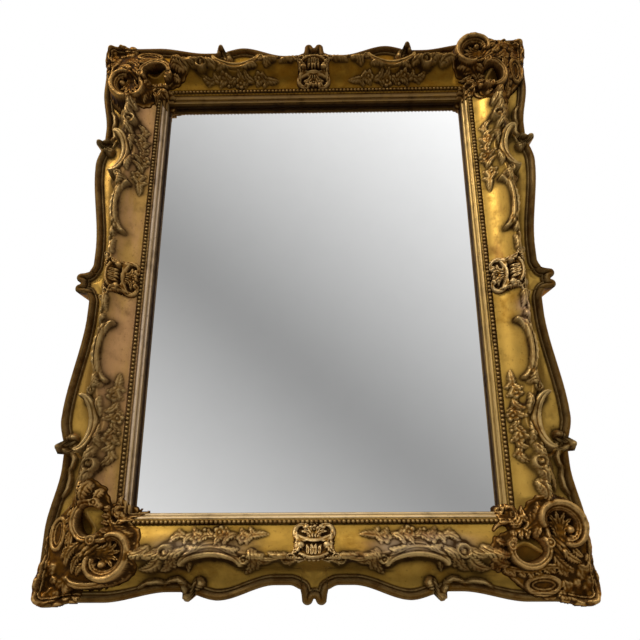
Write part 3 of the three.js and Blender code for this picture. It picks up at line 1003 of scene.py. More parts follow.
def bead_shape() -> tuple[Array, list]:
    """One bead: a dome with a closed, hidden foot.

    Returns:
        Its points as shares of the radius, and its faces.
    """
    points = [(0.0, 0.0, 1.0)]
    for ring in range(1, BEAD_RINGS + 1):
        tilt = math.radians(BEAD_TILT) * ring / BEAD_RINGS
        for side in range(BEAD_SIDES):
            turn = 2 * math.pi * side / BEAD_SIDES
            points.append((math.sin(tilt) * math.cos(turn), math.sin(tilt) * math.sin(turn), math.cos(tilt)))
    around = [(k, (k + 1) % BEAD_SIDES) for k in range(BEAD_SIDES)]
    faces = [[0, 1 + k, 1 + after] for k, after in around]
    for ring in range(BEAD_RINGS - 1):
        a, b = 1 + ring * BEAD_SIDES, 1 + (ring + 1) * BEAD_SIDES
        faces += [[a + k, b + k, b + after, a + after] for k, after in around]
    foot = 1 + (BEAD_RINGS - 1) * BEAD_SIDES
    faces.append([foot + k for k in reversed(range(BEAD_SIDES))])
    return np.array(points), faces


class Side(Enum):
    """Sides of the frame, by quarter turns to the right from the top."""

    TOP = 0
    RIGHT = 1
    BOTTOM = 2
    LEFT = 3

    def place(self, s: Array, u: Array, depth: Array) -> Array:
        """Points in the object's frame, from places on the rail of this side.

        Args:
            s: places along the rail.
            u: places outward from the sight edge.
            depth: depths in front of the wall.
        Returns:
            The points, in millimetres.
        """
        reach = (SIGHT_HEIGHT if self.value % 2 == 0 else SIGHT_WIDTH) / 2 + u
        x, z = [(s, reach), (reach, -s), (-s, -reach), (-reach, s)][self.value]
        return np.stack([x + 0 * depth, -depth, z + 0 * depth + SIGHT_MIDDLE], axis=-1)


@dataclass(frozen=True)
class WornSpot:
    """A spot where the gilding is worn to the chalk, on the panel."""

    s: float
    u: float
    radius: float
    reach: float = 9.0
    strength: float = 1.4

    def share(self, s: Array, u: Array) -> Array:
        """How worn each place is."""
        return self.strength * bell(np.hypot((s - self.s) / self.radius, (u - self.u) / self.reach))


@dataclass(frozen=True)
class WearAndLipHighlight:
    """Wear and painted highlight of one rail: the crests of its lip, rubbed and lit by painted highlight, and
    chalk on the whole panel or in spots.
    """

    lip: float
    chalk: float = 0.0
    spots: tuple[WornSpot, ...] = ()

    def lip_rub_and_highlight(self, u: Array) -> Array:
        """How bright each place on the lip is, as rubbed wear and painted highlight, most on the crests of
        the two reeds.

        Args:
            u: places outward from the sight edge.
        Returns:
            The shares.
        """
        crest, end = REED_TOP[0], REED_FOOT[0]
        reed = np.sin(math.pi * np.where(u < crest, u / crest, (u - crest) / (end - crest))) ** 2
        return np.where(u < end, self.lip * (0.25 + 0.75 * reed), 0.0)

    def chalk_share(self, s: Array, u: Array, carved: Array, half: float) -> Array:
        """How far each place is worn to the chalk.

        Args:
            s: places along the rail.
            u: places outward from the sight edge.
            carved: how far each place is carved.
            half: half the length of the sight edge.
        Returns:
            The shares.
        """
        on_panel, between_leaves = 1 - 0.8 * ease((u - 44) / 8), 1 - 0.85 * carved
        off_corner = ease((half - np.abs(s)) / 15)
        chalk = self.chalk * on_panel * between_leaves * off_corner
        for spot in self.spots:
            chalk = np.maximum(chalk, spot.share(s, u))
        return chalk


# The lip's share per side is painted highlight that follows the light, as well as wear: strongest on the left
# and bottom lips
WEAR_AND_LIP_HIGHLIGHT = {
    Side.TOP: WearAndLipHighlight(0.5),
    Side.LEFT: WearAndLipHighlight(0.95, chalk=1.0),
    Side.RIGHT: WearAndLipHighlight(0.5, spots=(WornSpot(48, 50, 9), WornSpot(64, 51, 9))),
    Side.BOTTOM: WearAndLipHighlight(0.85, spots=(WornSpot(-150, 36, 34), WornSpot(-96, 38, 26), WornSpot(92, 38, 24),
                                   WornSpot(146, 36, 36))),
}


@dataclass
class Rail:
    """One gilded rail: mitred, swept and carved, with its row of beads."""

    side: Side
    sweep: Sweep
    sheets: dict[int, Sheet]
    pitch: float = 1.62
    gap: float = MITRE_GAP * math.sqrt(0.5)

    @property
    def name(self) -> str:
        """Name of the piece."""
        return f"rail_{self.side.name.lower()}"

    def build(self) -> bpy.types.Object:
        """Makes the rail.

        Returns:
            The object, in place of its CAD node.
        """
        t = self.columns()[:, None]
        s, u = self.front(t)
        depth, grime, rub, carved = self.relief(s, u)
        depth[:, :len(SIGHT_ROWS)] = SIGHT_ROWS[:, 1]
        wear = WEAR_AND_LIP_HIGHLIGHT[self.side]
        back_s, back_u, back_depth = self.back(t, u[:, -1:])
        row, zero = np.arange(back_u.shape[1]), 0 * back_u
        lip = row >= len(row) - 2
        bare = np.where((row > 2) & ~lip, 1.0, 0.0) + zero
        # The two rows on the inner face of the lip, beside the glass, are painted fully dark as shade
        joined = {"grime": (grime, zero + lip), "rub": (rub, zero), "carved": (carved, 1 + zero),
                  "bare": (0 * grime, bare),
                  "worn": (wear.chalk_share(s, u, carved, self.sweep.half), zero),
                  "lip": (wear.lip_rub_and_highlight(u), zero)}
        masks = {key: np.concatenate(halves, axis=1).ravel() for key, halves in joined.items()}
        pairs = ((s, back_s), (u, back_u), (depth, back_depth))
        around = [np.concatenate(halves, axis=1) for halves in pairs]
        points, faces = self.shell(self.side.place(*around), t[-1, 0])
        return self.with_beads(points, faces, masks)

    def front(self, t: Array) -> tuple[Array, Array]:
        """Rows in front, from the sight edge to the outer edge, cut by the mitre.

        Args:
            t: stations as shares of the half length.
        Returns:
            Places s and u of the rows.
        """
        sight = SIGHT_ROWS[:, 0]
        u = np.concatenate([sight + 0 * t, self.sweep.rows(t[:, 0] * (self.sweep.half + 40))], axis=1)
        s = t * (self.sweep.half + u - self.gap)
        # The rows follow s, and the mitre makes s follow the rows, so they settle in a few rounds
        for _ in range(4):
            for k in range(len(sight), u.shape[1]):
                u[:, k] = self.sweep.rows(s[:, k])[:, k - len(sight)]
            s = t * (self.sweep.half + u - self.gap)
        return s, u

    def relief(self, s: Array, u: Array) -> list[Array]:
        """Relief and masks at places on the rail.

        Args:
            s: places along the rail.
            u: places outward from the sight edge.
        Returns:
            Depth, dirt with painted shade, rubbed wear with painted highlight, and how far each place is
            carved.
        """
        result = [np.zeros_like(u) for _ in range(4)]
        for end, sheet in self.sheets.items():
            for k, image in enumerate((sheet.depth, sheet.grime, sheet.rub, sheet.carved)):
                result[k] = np.where(s * end >= 0, sheet.sample(image, np.abs(s), u), result[k])
        return result

    def back(self, t: Array, edge: Array) -> tuple[Array, Array, Array]:
        """Rows behind the rail, from the outer edge to the lip, with the top rail's pockets.

        Args:
            t: stations as shares of the half length.
            edge: outer edge at each station.
        Returns:
            Places s, places u and depths of the rows.
        """
        place, half = POCKET_PLACE, POCKET_HALF[1]
        rows = np.array([0, 0, 0, place + half + POCKET_WALL, place + half, place - half,
                         place - half - POCKET_WALL, PANEL_FOOT[0], REBATE, REBATE, 0, 0])
        rounded = [edge - MOULDING_SETBACK * share for share in (0.3, 0.7, 1.0)]
        u = rows + np.concatenate(rounded + [0 * edge] * (len(rows) - len(rounded)), axis=1)
        depth = np.array([25.0, 11.0] + [0] * 7 + [REBATE_DEPTH, REBATE_DEPTH, LIP_MIDDLE]) + 0 * u
        # Rows 3 to 6 bound the pockets and run straight, and rows 4 and 5 are their floor
        straight = (1 - ease((np.abs(t) - 0.8) / 0.2)) * np.isin(np.arange(len(rows)), (3, 4, 5, 6))
        s = t * (self.sweep.half + u + straight * (place - u) - self.gap)
        if self.side is Side.TOP:
            past = np.abs(np.abs(s) - POCKET_SPACING)
            inside = np.clip((POCKET_HALF[0] + POCKET_SLOPE - past) / POCKET_SLOPE, 0, 1)
            depth[:, 4:6] = POCKET_DEPTH * inside[:, 4:6]
        return s, u, depth

    def columns(self) -> Array:
        """Stations of the mesh, closer together at the ear and the tips.

        Returns:
            Places as shares of the rail's half length.
        """
        half, samples = self.sweep.half, 4000
        place = np.linspace(0, 1, samples)
        s = place * (half + 60)
        at_ear, at_tip = bell(s / 17) ** 2, 0.9 * bell((half - 80 - s) / 12)
        weight = 1 + at_ear + at_tip
        total = np.concatenate([[0], np.cumsum((weight[1:] + weight[:-1]) / 2)])
        count = int(total[-1] * s[1] / self.pitch)
        right = np.interp(np.linspace(0, total[-1], count), total, place)
        return np.concatenate([-right[:0:-1], right])

    def shell(self, grid: Array, end: float) -> tuple[Array, list]:
        """Closed shell round the rail, with a cap on each mitre.

        Args:
            grid: points of the rings, ring by ring.
            end: sign of the last ring's end.
        Returns:
            Points and faces.
        """
        rows, ring = grid.shape[:2]
        quads = grid_faces(rows, ring)
        points = grid.reshape(-1, 3)
        outward = volume_sign(points - points.mean(axis=0), quads) > 0
        faces = (quads if outward else quads[:, ::-1]).tolist()
        first, last = list(range(ring)), list(range((rows - 1) * ring, rows * ring))
        faces += [first[::-1] if outward else first, last if outward else last[::-1]]
        if not self.cap_faces_out(points, faces[-1], end):
            faces[-1], faces[-2] = faces[-1][::-1], faces[-2][::-1]
        return points, faces

    def cap_faces_out(self, points: Array, cap: list[int], end: float) -> bool:
        """Whether the last cap faces away from the middle of the rail.

        Args:
            points: points of the rail.
            cap: point numbers of the cap.
            end: sign of its end of the rail.
        Returns:
            True where it does.
        """
        loop = points[cap]
        normal = np.sum(np.cross(loop, np.roll(loop, -1, axis=0)), axis=0)
        away = loop.mean(axis=0) - points.mean(axis=0)
        return float(normal @ away) * end > 0

    def with_beads(self, points: Array, faces: list, masks: dict[str, Array]) -> bpy.types.Object:
        """Adds the row of beads to the rail and makes the object.

        Args:
            points: points of the rail.
            faces: its faces, to which the beads' are added.
            masks: its masks, by name.
        Returns:
            The new object.
        """
        shape, shape_faces = bead_shape()
        spots = np.arange(BEAD_PITCH / 2, self.sweep.half + BEAD_PLACE - BEAD_RADIUS - 1, BEAD_PITCH)
        spots = np.concatenate([-spots[::-1], spots])
        s = spots[:, None] + BEAD_RADIUS * shape[None, :, 0]
        u = BEAD_PLACE + BEAD_RADIUS * shape[None, :, 1] + 0 * s
        depth = BEAD_DEPTH + BEAD_RADIUS * shape[None, :, 2] + 0 * s
        beads = self.side.place(s, u, depth).reshape(-1, 3)
        for offset in range(len(points), len(points) + len(beads), len(shape)):
            faces += [[offset + n for n in face] for face in shape_faces]
        top = np.tile(shape[:, 2], len(spots))
        # Painted shade towards the foot of each bead, and painted highlight with rubbed wear on its top
        on_beads = {"grime": np.clip(0.75 - top, 0, 1), "rub": np.clip(top * 1.4 - 0.6, 0, 1),
                    "carved": 1 + 0 * top}
        masks = {key: np.concatenate([values, on_beads.get(key, 0 * top)]) for key, values in masks.items()}
        piece = make_piece(self.name, np.vstack([points, beads]), faces, masks)
        return piece


@dataclass
class Casting:
    """A pressed ornament that lies on the rails.

    root is how far its back lies under the plain surface, and edge_sink how far its border does.
    """

    name: str
    sheet: Sheet
    place: Callable[[Array, Array, Array], Array]
    root: float = 1.2
    least_relief: float = 0.15
    edge_sink: float = 0.5
    least_thickness: float = 0.6
    # Painted shade on the back and on the walls at the border
    shade_behind: float = 0.8

    def build(self) -> bpy.types.Object:
        """Makes the ornament from the raised part of its sheet.

        Returns:
            The object, in place of its CAD node.
        """
        sheet = self.sheet
        raised = sheet.depth - sheet.base > self.least_relief
        cells = self.main_part(raised[:-1, :-1] | raised[1:, :-1] | raised[:-1, 1:] | raised[1:, 1:])
        used = np.zeros(raised.shape, bool)
        for a in (slice(None, -1), slice(1, None)):
            for b in (slice(None, -1), slice(1, None)):
                used[a, b] |= cells
        top = np.where(raised, sheet.depth, sheet.base - self.edge_sink)
        bottom = np.minimum(sheet.base - self.root, top - self.least_thickness)
        x, y = sheet.x[used], sheet.y[used]
        points = np.vstack([self.place(x, y, top[used]), self.place(x, y, bottom[used])])
        quads = self.shell(cells, used)
        if volume_sign(points - points.mean(axis=0), quads) < 0:
            quads = quads[:, ::-1]
        # The back and the border walls get painted shade and no highlight
        masks = {key: np.concatenate([image[used], self.shade_behind + 0 * image[used]])
                 for key, image in (("grime", sheet.grime), ("rub", sheet.rub))}
        masks["rub"][len(x):] = 0
        masks["bare"] = 0 * masks["rub"]
        masks["carved"] = 1 + masks["bare"]
        piece = make_piece(self.name, points, quads.tolist(), masks)
        return piece

    @staticmethod
    def shell(cells: Array, used: Array) -> Array:
        """Quads of the front, the back and the walls between them.

        Args:
            cells: cells of the raster that the ornament covers.
            used: their corners, which are the points of the front and then of the back.
        Returns:
            Four point numbers for each quad.
        """
        count = int(used.sum())
        number = np.full(used.shape, -1)
        number[used] = np.arange(count)
        i, j = np.nonzero(cells)
        upper = np.stack([number[i, j], number[i + 1, j], number[i + 1, j + 1], number[i, j + 1]], axis=-1)
        edges = np.concatenate([upper[:, [k, (k + 1) % 4]] for k in range(4)])
        keys = edges[:, 0] * count + edges[:, 1]
        border = edges[~np.isin(keys, edges[:, 1] * count + edges[:, 0])]
        walls = np.stack([border[:, 1], border[:, 0], border[:, 0] + count, border[:, 1] + count], axis=-1)
        return np.vstack([upper, upper[:, ::-1] + count, walls])

    @staticmethod
    def main_part(cells: Array) -> Array:
        """The largest connected part of the cells.

        Args:
            cells: whether each cell is covered.
        Returns:
            Whether each cell belongs to the largest part.
        """
        label = np.where(cells, np.arange(1, cells.size + 1).reshape(cells.shape), 0)
        while True:
            grown = label.copy()
            for axis in (0, 1):
                for step in (1, -1):
                    moved = np.roll(label, step, axis=axis)
                    edge = [slice(None)] * 2
                    edge[axis] = 0 if step == 1 else -1
                    moved[tuple(edge)] = 0
                    grown = np.maximum(grown, moved)
            grown = np.where(cells, grown, 0)
            jump = grown.ravel()
            grown = np.where(cells, np.maximum(grown, jump[np.maximum(grown - 1, 0)]), 0)
            if np.array_equal(grown, label):
                break
            label = grown
        values, counts = np.unique(label[label > 0], return_counts=True)
        return label == values[np.argmax(counts)]


@dataclass
class Cartouche:
    """Ornament on the middle of a rail: two curls round a bowl near the beads, and a fluted ring above it.

    x runs along the rail and u outward. Curls are given by their place x, place u and radius, and the bowl
    by its place u and its two radii.
    """

    sweep: Sweep
    middle: float = 32.0
    half: Pair = (20.0, 19.5)
    skin: float = 2.8
    bowl: Triple = (23.0, 15.0, 7.5)
    bowl_depth: float = 2.2
    ring: Pair = (15.0, 8.6)
    ring_place: float = 41.0
    curl: Triple = (10.0, 22.0, 8.8)
    foot_curl: Triple = (21.5, 49.0, 4.6)
    fringe_beads: int = 13
    stretch: float = 1.18
    cell: float = 0.45

    def plain(self, x: Array, u: Array) -> Array:
        """Depth of the rail under the ornament."""
        return self.sweep.depth(self.stretch * x, u)

    def sheet(self) -> Sheet:
        """Carves the ornament.

        Returns:
            The carved sheet.
        """
        sheet = Sheet((-28, 8), (28, 60), self.cell, self.plain)
        place, *radii = self.bowl
        Pad(arc_path((0, 0), 1, 0, 360) * self.half + [0, self.middle], self.skin, 0.8).carve(sheet)
        Hollow((0, place), radii, self.bowl_depth).carve(sheet)
        sheet.ground = sheet.depth.copy()
        for shape in self.ring_shapes() + self.side_shapes(-1) + self.side_shapes(1) + self.bead_ring():
            shape.carve(sheet)
        sheet.roughen(0.3, 5)
        sheet.mark_dirt_shade_and_highlights()
        sheet.carved = np.ones_like(sheet.carved)
        return sheet

    def place_on(self, side: Side) -> Callable[[Array, Array, Array], Array]:
        """How places on the ornament go to points in the object's frame, on one side of it.

        Args:
            side: the side of the frame.
        Returns:
            A function of x, u and depth.
        """
        def place(x: Array, u: Array, depth: Array) -> Array:
            """Points in the object's frame, in millimetres."""
            return side.place(self.stretch * x, u, depth)
        return place

    def ring_shapes(self) -> list:
        """The open ring and the one inside it, the band under them and the flower in the bowl.

        Returns:
            The shapes.
        """
        ring, place = np.array(self.ring), [0, self.ring_place]
        outer = arc_path((0, 0), 1, -32, 244) * ring + place
        inner = arc_path((0, 0), 1, -10, 200) * (ring - 3.6) + place
        return [
            Bar(outer, 2.6, level=RIDGE_DEPTH - 3, taper=0.15, buttons=1.35),
            Bar(inner, 1.0, level=RIDGE_DEPTH - 3.4, taper=0),
            Bar(bent((-15, 26), (15, 26), 0.17), 2.2, lift=4.2, taper=0.5),
            Flower((0, 19.5), 5.6, 5.5, 6, 0.3, lift=2.6),
        ]

    def side_shapes(self, side: int) -> list:
        """The curl, leaves and flutes on one side.

        Args:
            side: -1 or 1.
        Returns:
            The shapes.
        """
        level = RIDGE_DEPTH
        x, u, radius = self.curl
        foot_x, foot_u, foot_radius = self.foot_curl
        curl = arc_path((0, 0), radius, 285, -265, 0.3) * [side, 1] + [-side * x, u]
        return [
            Bar(curl, 2.7, lift=3.4, buttons=1.2, taper=0.35),
            Leaf((side * 2, 30), (side * 13, 22), 7, 5, -0.3 * side, 4, lift=2.4),
            Leaf((side * 4, 29), (side * 9, 14), 6, 4.5, -0.2 * side, 3, lift=2.4),
            Leaf((side * 16, 29), (side * 21, 45), 9, 5, 0.2 * side, 5, lift=2.8),
            Leaf((side * 9, 51), (side * 22, 46), 7, 4.5, 0.2 * side, 4, level=level - 5),
            Leaf((side * 2.2, 35), (side * 2.0, 48), 4.6, 5.0, 0.05 * side, 1, level=level - 5),
            Leaf((side * 7.0, 36), (side * 6.2, 47), 4.6, 4.5, 0.1 * side, 1, level=level - 5),
            Volute((side * foot_x, foot_u), foot_radius, 4.5, 1.0, side, level=level - 9),
        ]

    def bead_ring(self) -> list:
        """The beads round the ring.

        Returns:
            The shapes.
        """
        reach = np.array(self.ring) + 2.6
        shapes = []
        for k in range(self.fringe_beads):
            angle = math.radians(6 + 168 * k / (self.fringe_beads - 1))
            spot = (reach[0] * math.cos(angle), self.ring_place + reach[1] * math.sin(angle))
            shapes.append(Knob(spot, 1.7, 2.0, level=RIDGE_DEPTH - 3.5))
        return shapes


@dataclass(frozen=True)
class CornerPressing:
    """Ornament of a corner, p outward along the lower rail and q outward across it.

    shift is how far the pressing sits from its nominal place, along p and q.
    """

    shift: Pair
    cell: float = 0.68
    skin: float = 3.0
    crown: Triple = (50.0, 26.0, 61.0)
    crown_fall: float = 0.0050
    scroll_centre: Pair = (57.0, 19.0)
    scroll_radius: float = 27.0
    scroll_turn: Pair = (188.0, 242.0)
    scroll_pinch: float = 0.34
    bowl: Pair = (22.0, 20.0)
    bowl_depth: float = 11.0
    bowl_leaves: int = 5
    window: Pair = (22.0, 42.0)
    window_half: Pair = (16.5, 14.0)
    ring: Pair = (36.0, 80.0)
    gadroons: int = 5
    gadroon_middle: Pair = (56.0, 36.0)
    gadroon_pitch: Pair = (3.7, -3.4)
    gadroon_half: Pair = (7.2, 8.0)
    lobes: int = 4
    hook: Pair = (6.0, 4.0)
    hook_size: float = 1.0
    tongue: Pair | None = None
    softness: float = 0.48
    foot_leaves: tuple[int, int] = (3, 5)
    foot_curls: tuple[Pair, ...] = ((90, 62), (94, 94), (60, 95))
    outline_points: tuple[Pair, ...] = (
        (-8, -1), (-5, -6), (-1, -8), (7, -8), (18, 6), (27, -8), (36, -17), (57, -19), (76, -15), (88, -2),
        (94, 14), (96, 40), (92, 56), (96, 74), (101, 90), (99, 99), (88, 101), (72, 98), (58, 94), (40, 96),
        (22, 90), (8, 78), (-8, 64), (-22, 54), (-26, 42), (-14, 28), (4, 22), (-6, 12))

    def plain(self, p: Array, q: Array) -> Array:
        """Depth of what lies under the pressing: the two rails, and the glass inside the sight edge.

        Args:
            p: places along the lower rail.
            q: places across it.
        Returns:
            The depths.
        """
        p, q = p + self.shift[0], q + self.shift[1]
        rail = np.where(q > p, SHORT.depth(-SHORT.half - p, q), SHORT.depth(SHORT.half + q, p))
        return np.where(np.maximum(p, q) < 0, GLASS_FRONT + 0.6, rail)

    def sheet(self) -> Sheet:
        """Carves the pressing.

        Returns:
            The carved sheet.
        """
        sheet = Sheet((-36, -36), (116, 110), self.cell, self.plain)
        self.body(sheet)
        sheet.ground = sheet.depth.copy()
        shapes = self.scroll() + self.around_window() + self.sight_edge() + self.lower_part() + self.foot()
        for shape in shapes:
            shape.carve(sheet)
        Hollow(self.window, self.window_half, 0, True).carve(sheet)
        for shape in self.window_lobes():
            shape.carve(sheet)
        relief = blurred(sheet.depth - sheet.base, self.softness / self.cell)
        at_foot = 0.8 * ease((np.minimum(sheet.x, sheet.y) - 52) / 14)
        sheet.depth = sheet.base + relief + at_foot * (blurred(relief, 1.3 / self.cell) - relief)
        sheet.roughen(0.35, 3)
        self.trim(sheet)
        sheet.mark_dirt_shade_and_highlights()
        sheet.carved = np.ones_like(sheet.carved)
        return sheet

    def outline(self) -> Array:
        """Outline of the pressing. Its foot and its sight corner stay in place, whatever the shift.

        Returns:
            Points of the outline.
        """
        points = np.array(self.outline_points, float)
        share = ease((np.minimum(*points.T) - 40) / 40) + ease((7 - np.maximum(*points.T)) / 8)
        return points - share[:, None] * self.shift

    def trim(self, sheet: Sheet) -> None:
        """Rounds off what stands out past the edge of the frame by more than a little.

        Args:
            sheet: the pressing's sheet.
        """
        p, q = sheet.x + self.shift[0], sheet.y + self.shift[1]
        past = np.maximum(q - SHORT.edge(-SHORT.half - p), p - SHORT.edge(SHORT.half + q))
        uneven = 0.8 + 0.4 * np.sin(0.33 * p + 0.9) * np.sin(0.29 * q)
        sheet.depth = sheet.base + (sheet.depth - sheet.base) * ease((uneven - past) / 3)

    def body(self, sheet: Sheet) -> None:
        """Raises the swelling body and sinks the bowl of the big scroll.

        Args:
            sheet: the pressing's sheet.
        """
        outline = self.outline()
        closed = np.vstack([outline, outline[:1]])
        within = np.where(inside_polygon(outline, sheet.x, sheet.y), nearest(closed, sheet.x, sheet.y)[0], 0)
        Pad(outline, self.skin).carve(sheet)
        p, q, crown = self.crown
        swell = crown - self.crown_fall * ((sheet.x - p) ** 2 + (sheet.y - q) ** 2)
        swell = np.minimum(swell, MOULDING_CROWN + 1 + 1.5 * within)
        inner = 1 - (1 - ease((sheet.x - 24) / 16)) * (1 - ease((sheet.y - 50) / 14))
        top = sheet.base + (swell - sheet.base) * inner
        sheet.raise_to(np.s_[:, :], np.where(within > 0.2, top, -np.inf))
        Hollow(self.scroll_centre, self.bowl, self.bowl_depth).carve(sheet)

    def scroll(self) -> list:
        """The big ribbed scroll, the leaves in its bowl and the gadroons under it.

        Returns:
            The shapes.
        """
        (p, q), (start, sweep) = self.scroll_centre, self.scroll_turn
        path = arc_path(self.scroll_centre, self.scroll_radius, start, sweep, self.scroll_pinch)
        shapes = fringe(path[4:44], 9, 10, -60, width=7, rise=3.6, lobes=3, lift=1.5)
        for inset, radius, sink in ((6.6, 1.5, 4.5), (4.0, 2.0, 2.4), (-0.8, 3.9, -0.6)):
            rib = arc_path(self.scroll_centre, self.scroll_radius - inset, start + inset, sweep - 3 * inset,
                           self.scroll_pinch)
            shapes.append(Bar(rib, radius, level=RIDGE_DEPTH - sink, taper=0.4))
        for k in range(self.bowl_leaves):
            turn = math.radians(196 + 33 * k)
            tip = (p + 20 * math.cos(turn), q + 20 * math.sin(turn))
            shapes.append(Leaf((p - 4 + 2 * k, q + 12), tip, 9.5, 6.0, 0.3 - 0.12 * k, 5, lift=2.0))
        shapes.append(Knob((69, 21), 4.8, 5, lift=4.5))
        reach, pitch = np.array(self.gadroon_half), np.array(self.gadroon_pitch)
        for k in range(self.gadroons):
            middle = np.array(self.gadroon_middle) + (k - (self.gadroons - 1) / 2) * pitch
            shapes.append(Bar(np.array([middle - reach, middle, middle + reach]), 2.5, lift=2.6, taper=0.3))
        for x, y in ((66, 33), (72, 30), (77, 26), (60, 45)):
            shapes.append(Leaf((x - 3, y - 4), (x + 5, y + 5), 6, 5.5, 0.1, 3, lift=3))
        shapes.append(Leaf((78, 30), (87, 8), 9, 4.5, -0.2, 5, lift=1.5))
        return shapes

    def around_window(self) -> list:
        """The rim of the window, its two curls and the bands beside it.

        Returns:
            The shapes.
        """
        p, q = self.window
        rim = arc_path((0, 0), 1, -35, 250) * (np.array(self.window_half) + 3.6) + [p, q]
        return [
            Bar(rim, 4.4, level=RIDGE_DEPTH - 9, lift=2.4, taper=0.2, ribs=2),
            Volute((p - 20, q - 5), 5.6, 5.5, 2.0, 1, level=RIDGE_DEPTH - 7, lift=2),
            Volute((p + 21, q - 7), 5.6, 5.5, 1.0, -1, level=RIDGE_DEPTH - 4, lift=2),
            Bar(bent((33, 0), (43, 42), -0.12), 2.8, lift=4.0, taper=0.5),
            Bar(bent((p - 20, q - 10), (p + 8, q - 19), -0.2), 2.6, lift=3.4, taper=0.4),
        ]

    def window_lobes(self) -> list:
        """Lobes that hang into the window from its inner side.

        Returns:
            The shapes.
        """
        p, q = self.window
        return [Leaf((p - 12 + 8.4 * k, q - 21 - k), (p - 12 + 7.4 * k, q - 9 - 1.5 * abs(k - 1.5)), 9.0, 6.0,
                     0.15, 3, lift=3.0) for k in range(self.lobes)]

    def sight_edge(self) -> list:
        """Curl and strand over the sight corner, and the fronds on the panels.

        Returns:
            The shapes.
        """
        sight = -np.array(self.shift)
        size = self.hook_size
        spot = sight + self.hook
        hook = arc_path(spot, 8.5 * size, 195, 235, 0.15)
        strand = bent(spot + [2, 9], spot + [-20, 17], 0.15)
        curl = tuple(spot - np.array([8.0, 5.0]) * size)
        shapes = []
        if self.tongue:
            shapes.append(Leaf(tuple(sight + [2, 2]), tuple(sight + self.tongue), 7, 3.0, 0.08, 5, level=24.5,
                               lift=0.8))
        return shapes + [
            Bar(hook, 2.4 * size, level=26, lift=2.2, taper=0.25),
            Bar(strand, 2.4 * size, lift=2.4, taper=0.4),
            Volute(curl, 4.4 * size, 4.5 * size, 2.4, 1, level=26, lift=1.0),
            Leaf((20, 22), (36, -10), 11, 6, 0.15, 6, lift=3),
            Leaf((8, 20), (20, 0), 9, 4.5, 0.12, 5, lift=2.6),
            Leaf((36, 22), (30, 0), 9, 5.5, -0.1, 5, lift=3),
            Leaf((28, 14), (22, -6), 8, 4.5, -0.2, 4, lift=2.6),
            Leaf((14, 18), (6, 8), 7, 4.5, -0.2, 4, lift=2.6),
            Leaf((-22, 42), (2, 48), 12, 5.5, 0.1, 5, lift=3.0),
            Leaf((-14, 31), (2, 36), 10, 5, 0.1, 5, lift=2.5),
            Leaf((2, 58), (-22, 50), 10, 5, -0.1, 5, lift=2.5),
        ]

    def lower_part(self) -> list:
        """The leaf band under the window, the ring on the moulding and the outer scroll.

        Returns:
            The shapes.
        """
        band = np.vstack([bent((-22, 52), (20, 64), 0.08), bent((22, 64.5), (68, 66), -0.12)])
        outer = scroll_path((89, 22), (86, 62), 0.42)
        oval = arc_path((0, 0), 1, 0, 360)
        return [
            *fringe(band, 11, 11, 42, width=8, rise=4.4, lobes=4, lift=1.5),
            *fringe(outer, 6, 9, -45, width=7, rise=3.6, lobes=3, lift=1.0),
            Bar(band, 3.6, lift=2.6, taper=0.5, ribs=2),
            Bar(outer, 4.4, lift=2.4, ribs=2, taper=0.35),
            Leaf((46, 46), (72, 64), 12, 5.5, 0.15, 7, lift=1.5),
            Leaf((56, 42), (80, 56), 11, 5.5, 0.1, 7, lift=1.5),
            Leaf((68, 40), (82, 50), 9, 5, 0.1, 5, lift=1.5),
            Bar(oval * [17.5, 9.5] + self.ring, 2.7, level=MOULDING_CROWN + 1, lift=1.6, taper=0),
            Bar(oval * [12, 5.2] + self.ring, 1.4, level=MOULDING_CROWN + 1, lift=0.8, taper=0),
        ]

    def foot(self) -> list:
        """Rough leaves at the outer corner of the frame, each a little different.

        Returns:
            The shapes.
        """
        rng = np.random.default_rng(21)
        rows, places = self.foot_leaves
        shapes = []
        for k in range(rows * places):
            row, place = divmod(k, places)
            turn = math.radians(45 + (place - places // 2) * 23 + rng.uniform(-8, 8))
            reach = 17 + 11 * row + 4 * math.cos(2 * turn - math.pi / 2)
            root = complex(*(57 - np.array(self.shift))) + reach * complex(math.cos(turn), math.sin(turn))
            lean = turn + rng.uniform(-0.6, 0.6)
            tip = root + rng.uniform(12, 17) * complex(math.cos(lean), math.sin(lean))
            width, rise, bend = rng.uniform(10, 14), rng.uniform(3.6, 5.4), rng.uniform(-0.2, 0.2)
            shapes.append(Leaf((root.real, root.imag), (tip.real, tip.imag), width, rise, bend, 3,
                               lift=rng.uniform(0.4, 1.6)))
        for spot in self.foot_curls:
            shapes.append(Volute(tuple(np.array(spot) - self.shift), 5.0, 4.0, 0.1 * spot[0], 1, lift=1.2))
        return shapes


class Corner(Enum):
    """Corners of the frame, by quarter turns to the right from the lower right one, with their pressings."""

    BOTTOM_RIGHT = CornerPressing((0, 0), hook=(6, 4))
    BOTTOM_LEFT = CornerPressing((-13, -3), hook=(9, 13), hook_size=0.9, tongue=(-2, -20))
    TOP_LEFT = CornerPressing((-7, -7), hook=(9, 9), hook_size=0.8)
    TOP_RIGHT = CornerPressing((1, 2), hook=(9, 9), hook_size=0.8)

    def place(self, p: Array, q: Array, depth: Array) -> Array:
        """Points in the object's frame, from places on this corner's pressing.

        Args:
            p: places along the pressing.
            q: places across it.
            depth: depths in front of the wall.
        Returns:
            The points, in millimetres.
        """
        p, q = p + self.value.shift[0], q + self.value.shift[1]
        half_w, half_h = SIGHT_WIDTH / 2, SIGHT_HEIGHT / 2
        x, z = {
            Corner.BOTTOM_RIGHT: (half_w + p, -half_h - q),
            Corner.BOTTOM_LEFT: (-half_w - q, -half_h - p),
            Corner.TOP_LEFT: (-half_w - p, half_h + q),
            Corner.TOP_RIGHT: (half_w + q, half_h + p),
        }[self]
        return np.stack([x, -depth, z + SIGHT_MIDDLE], axis=-1)


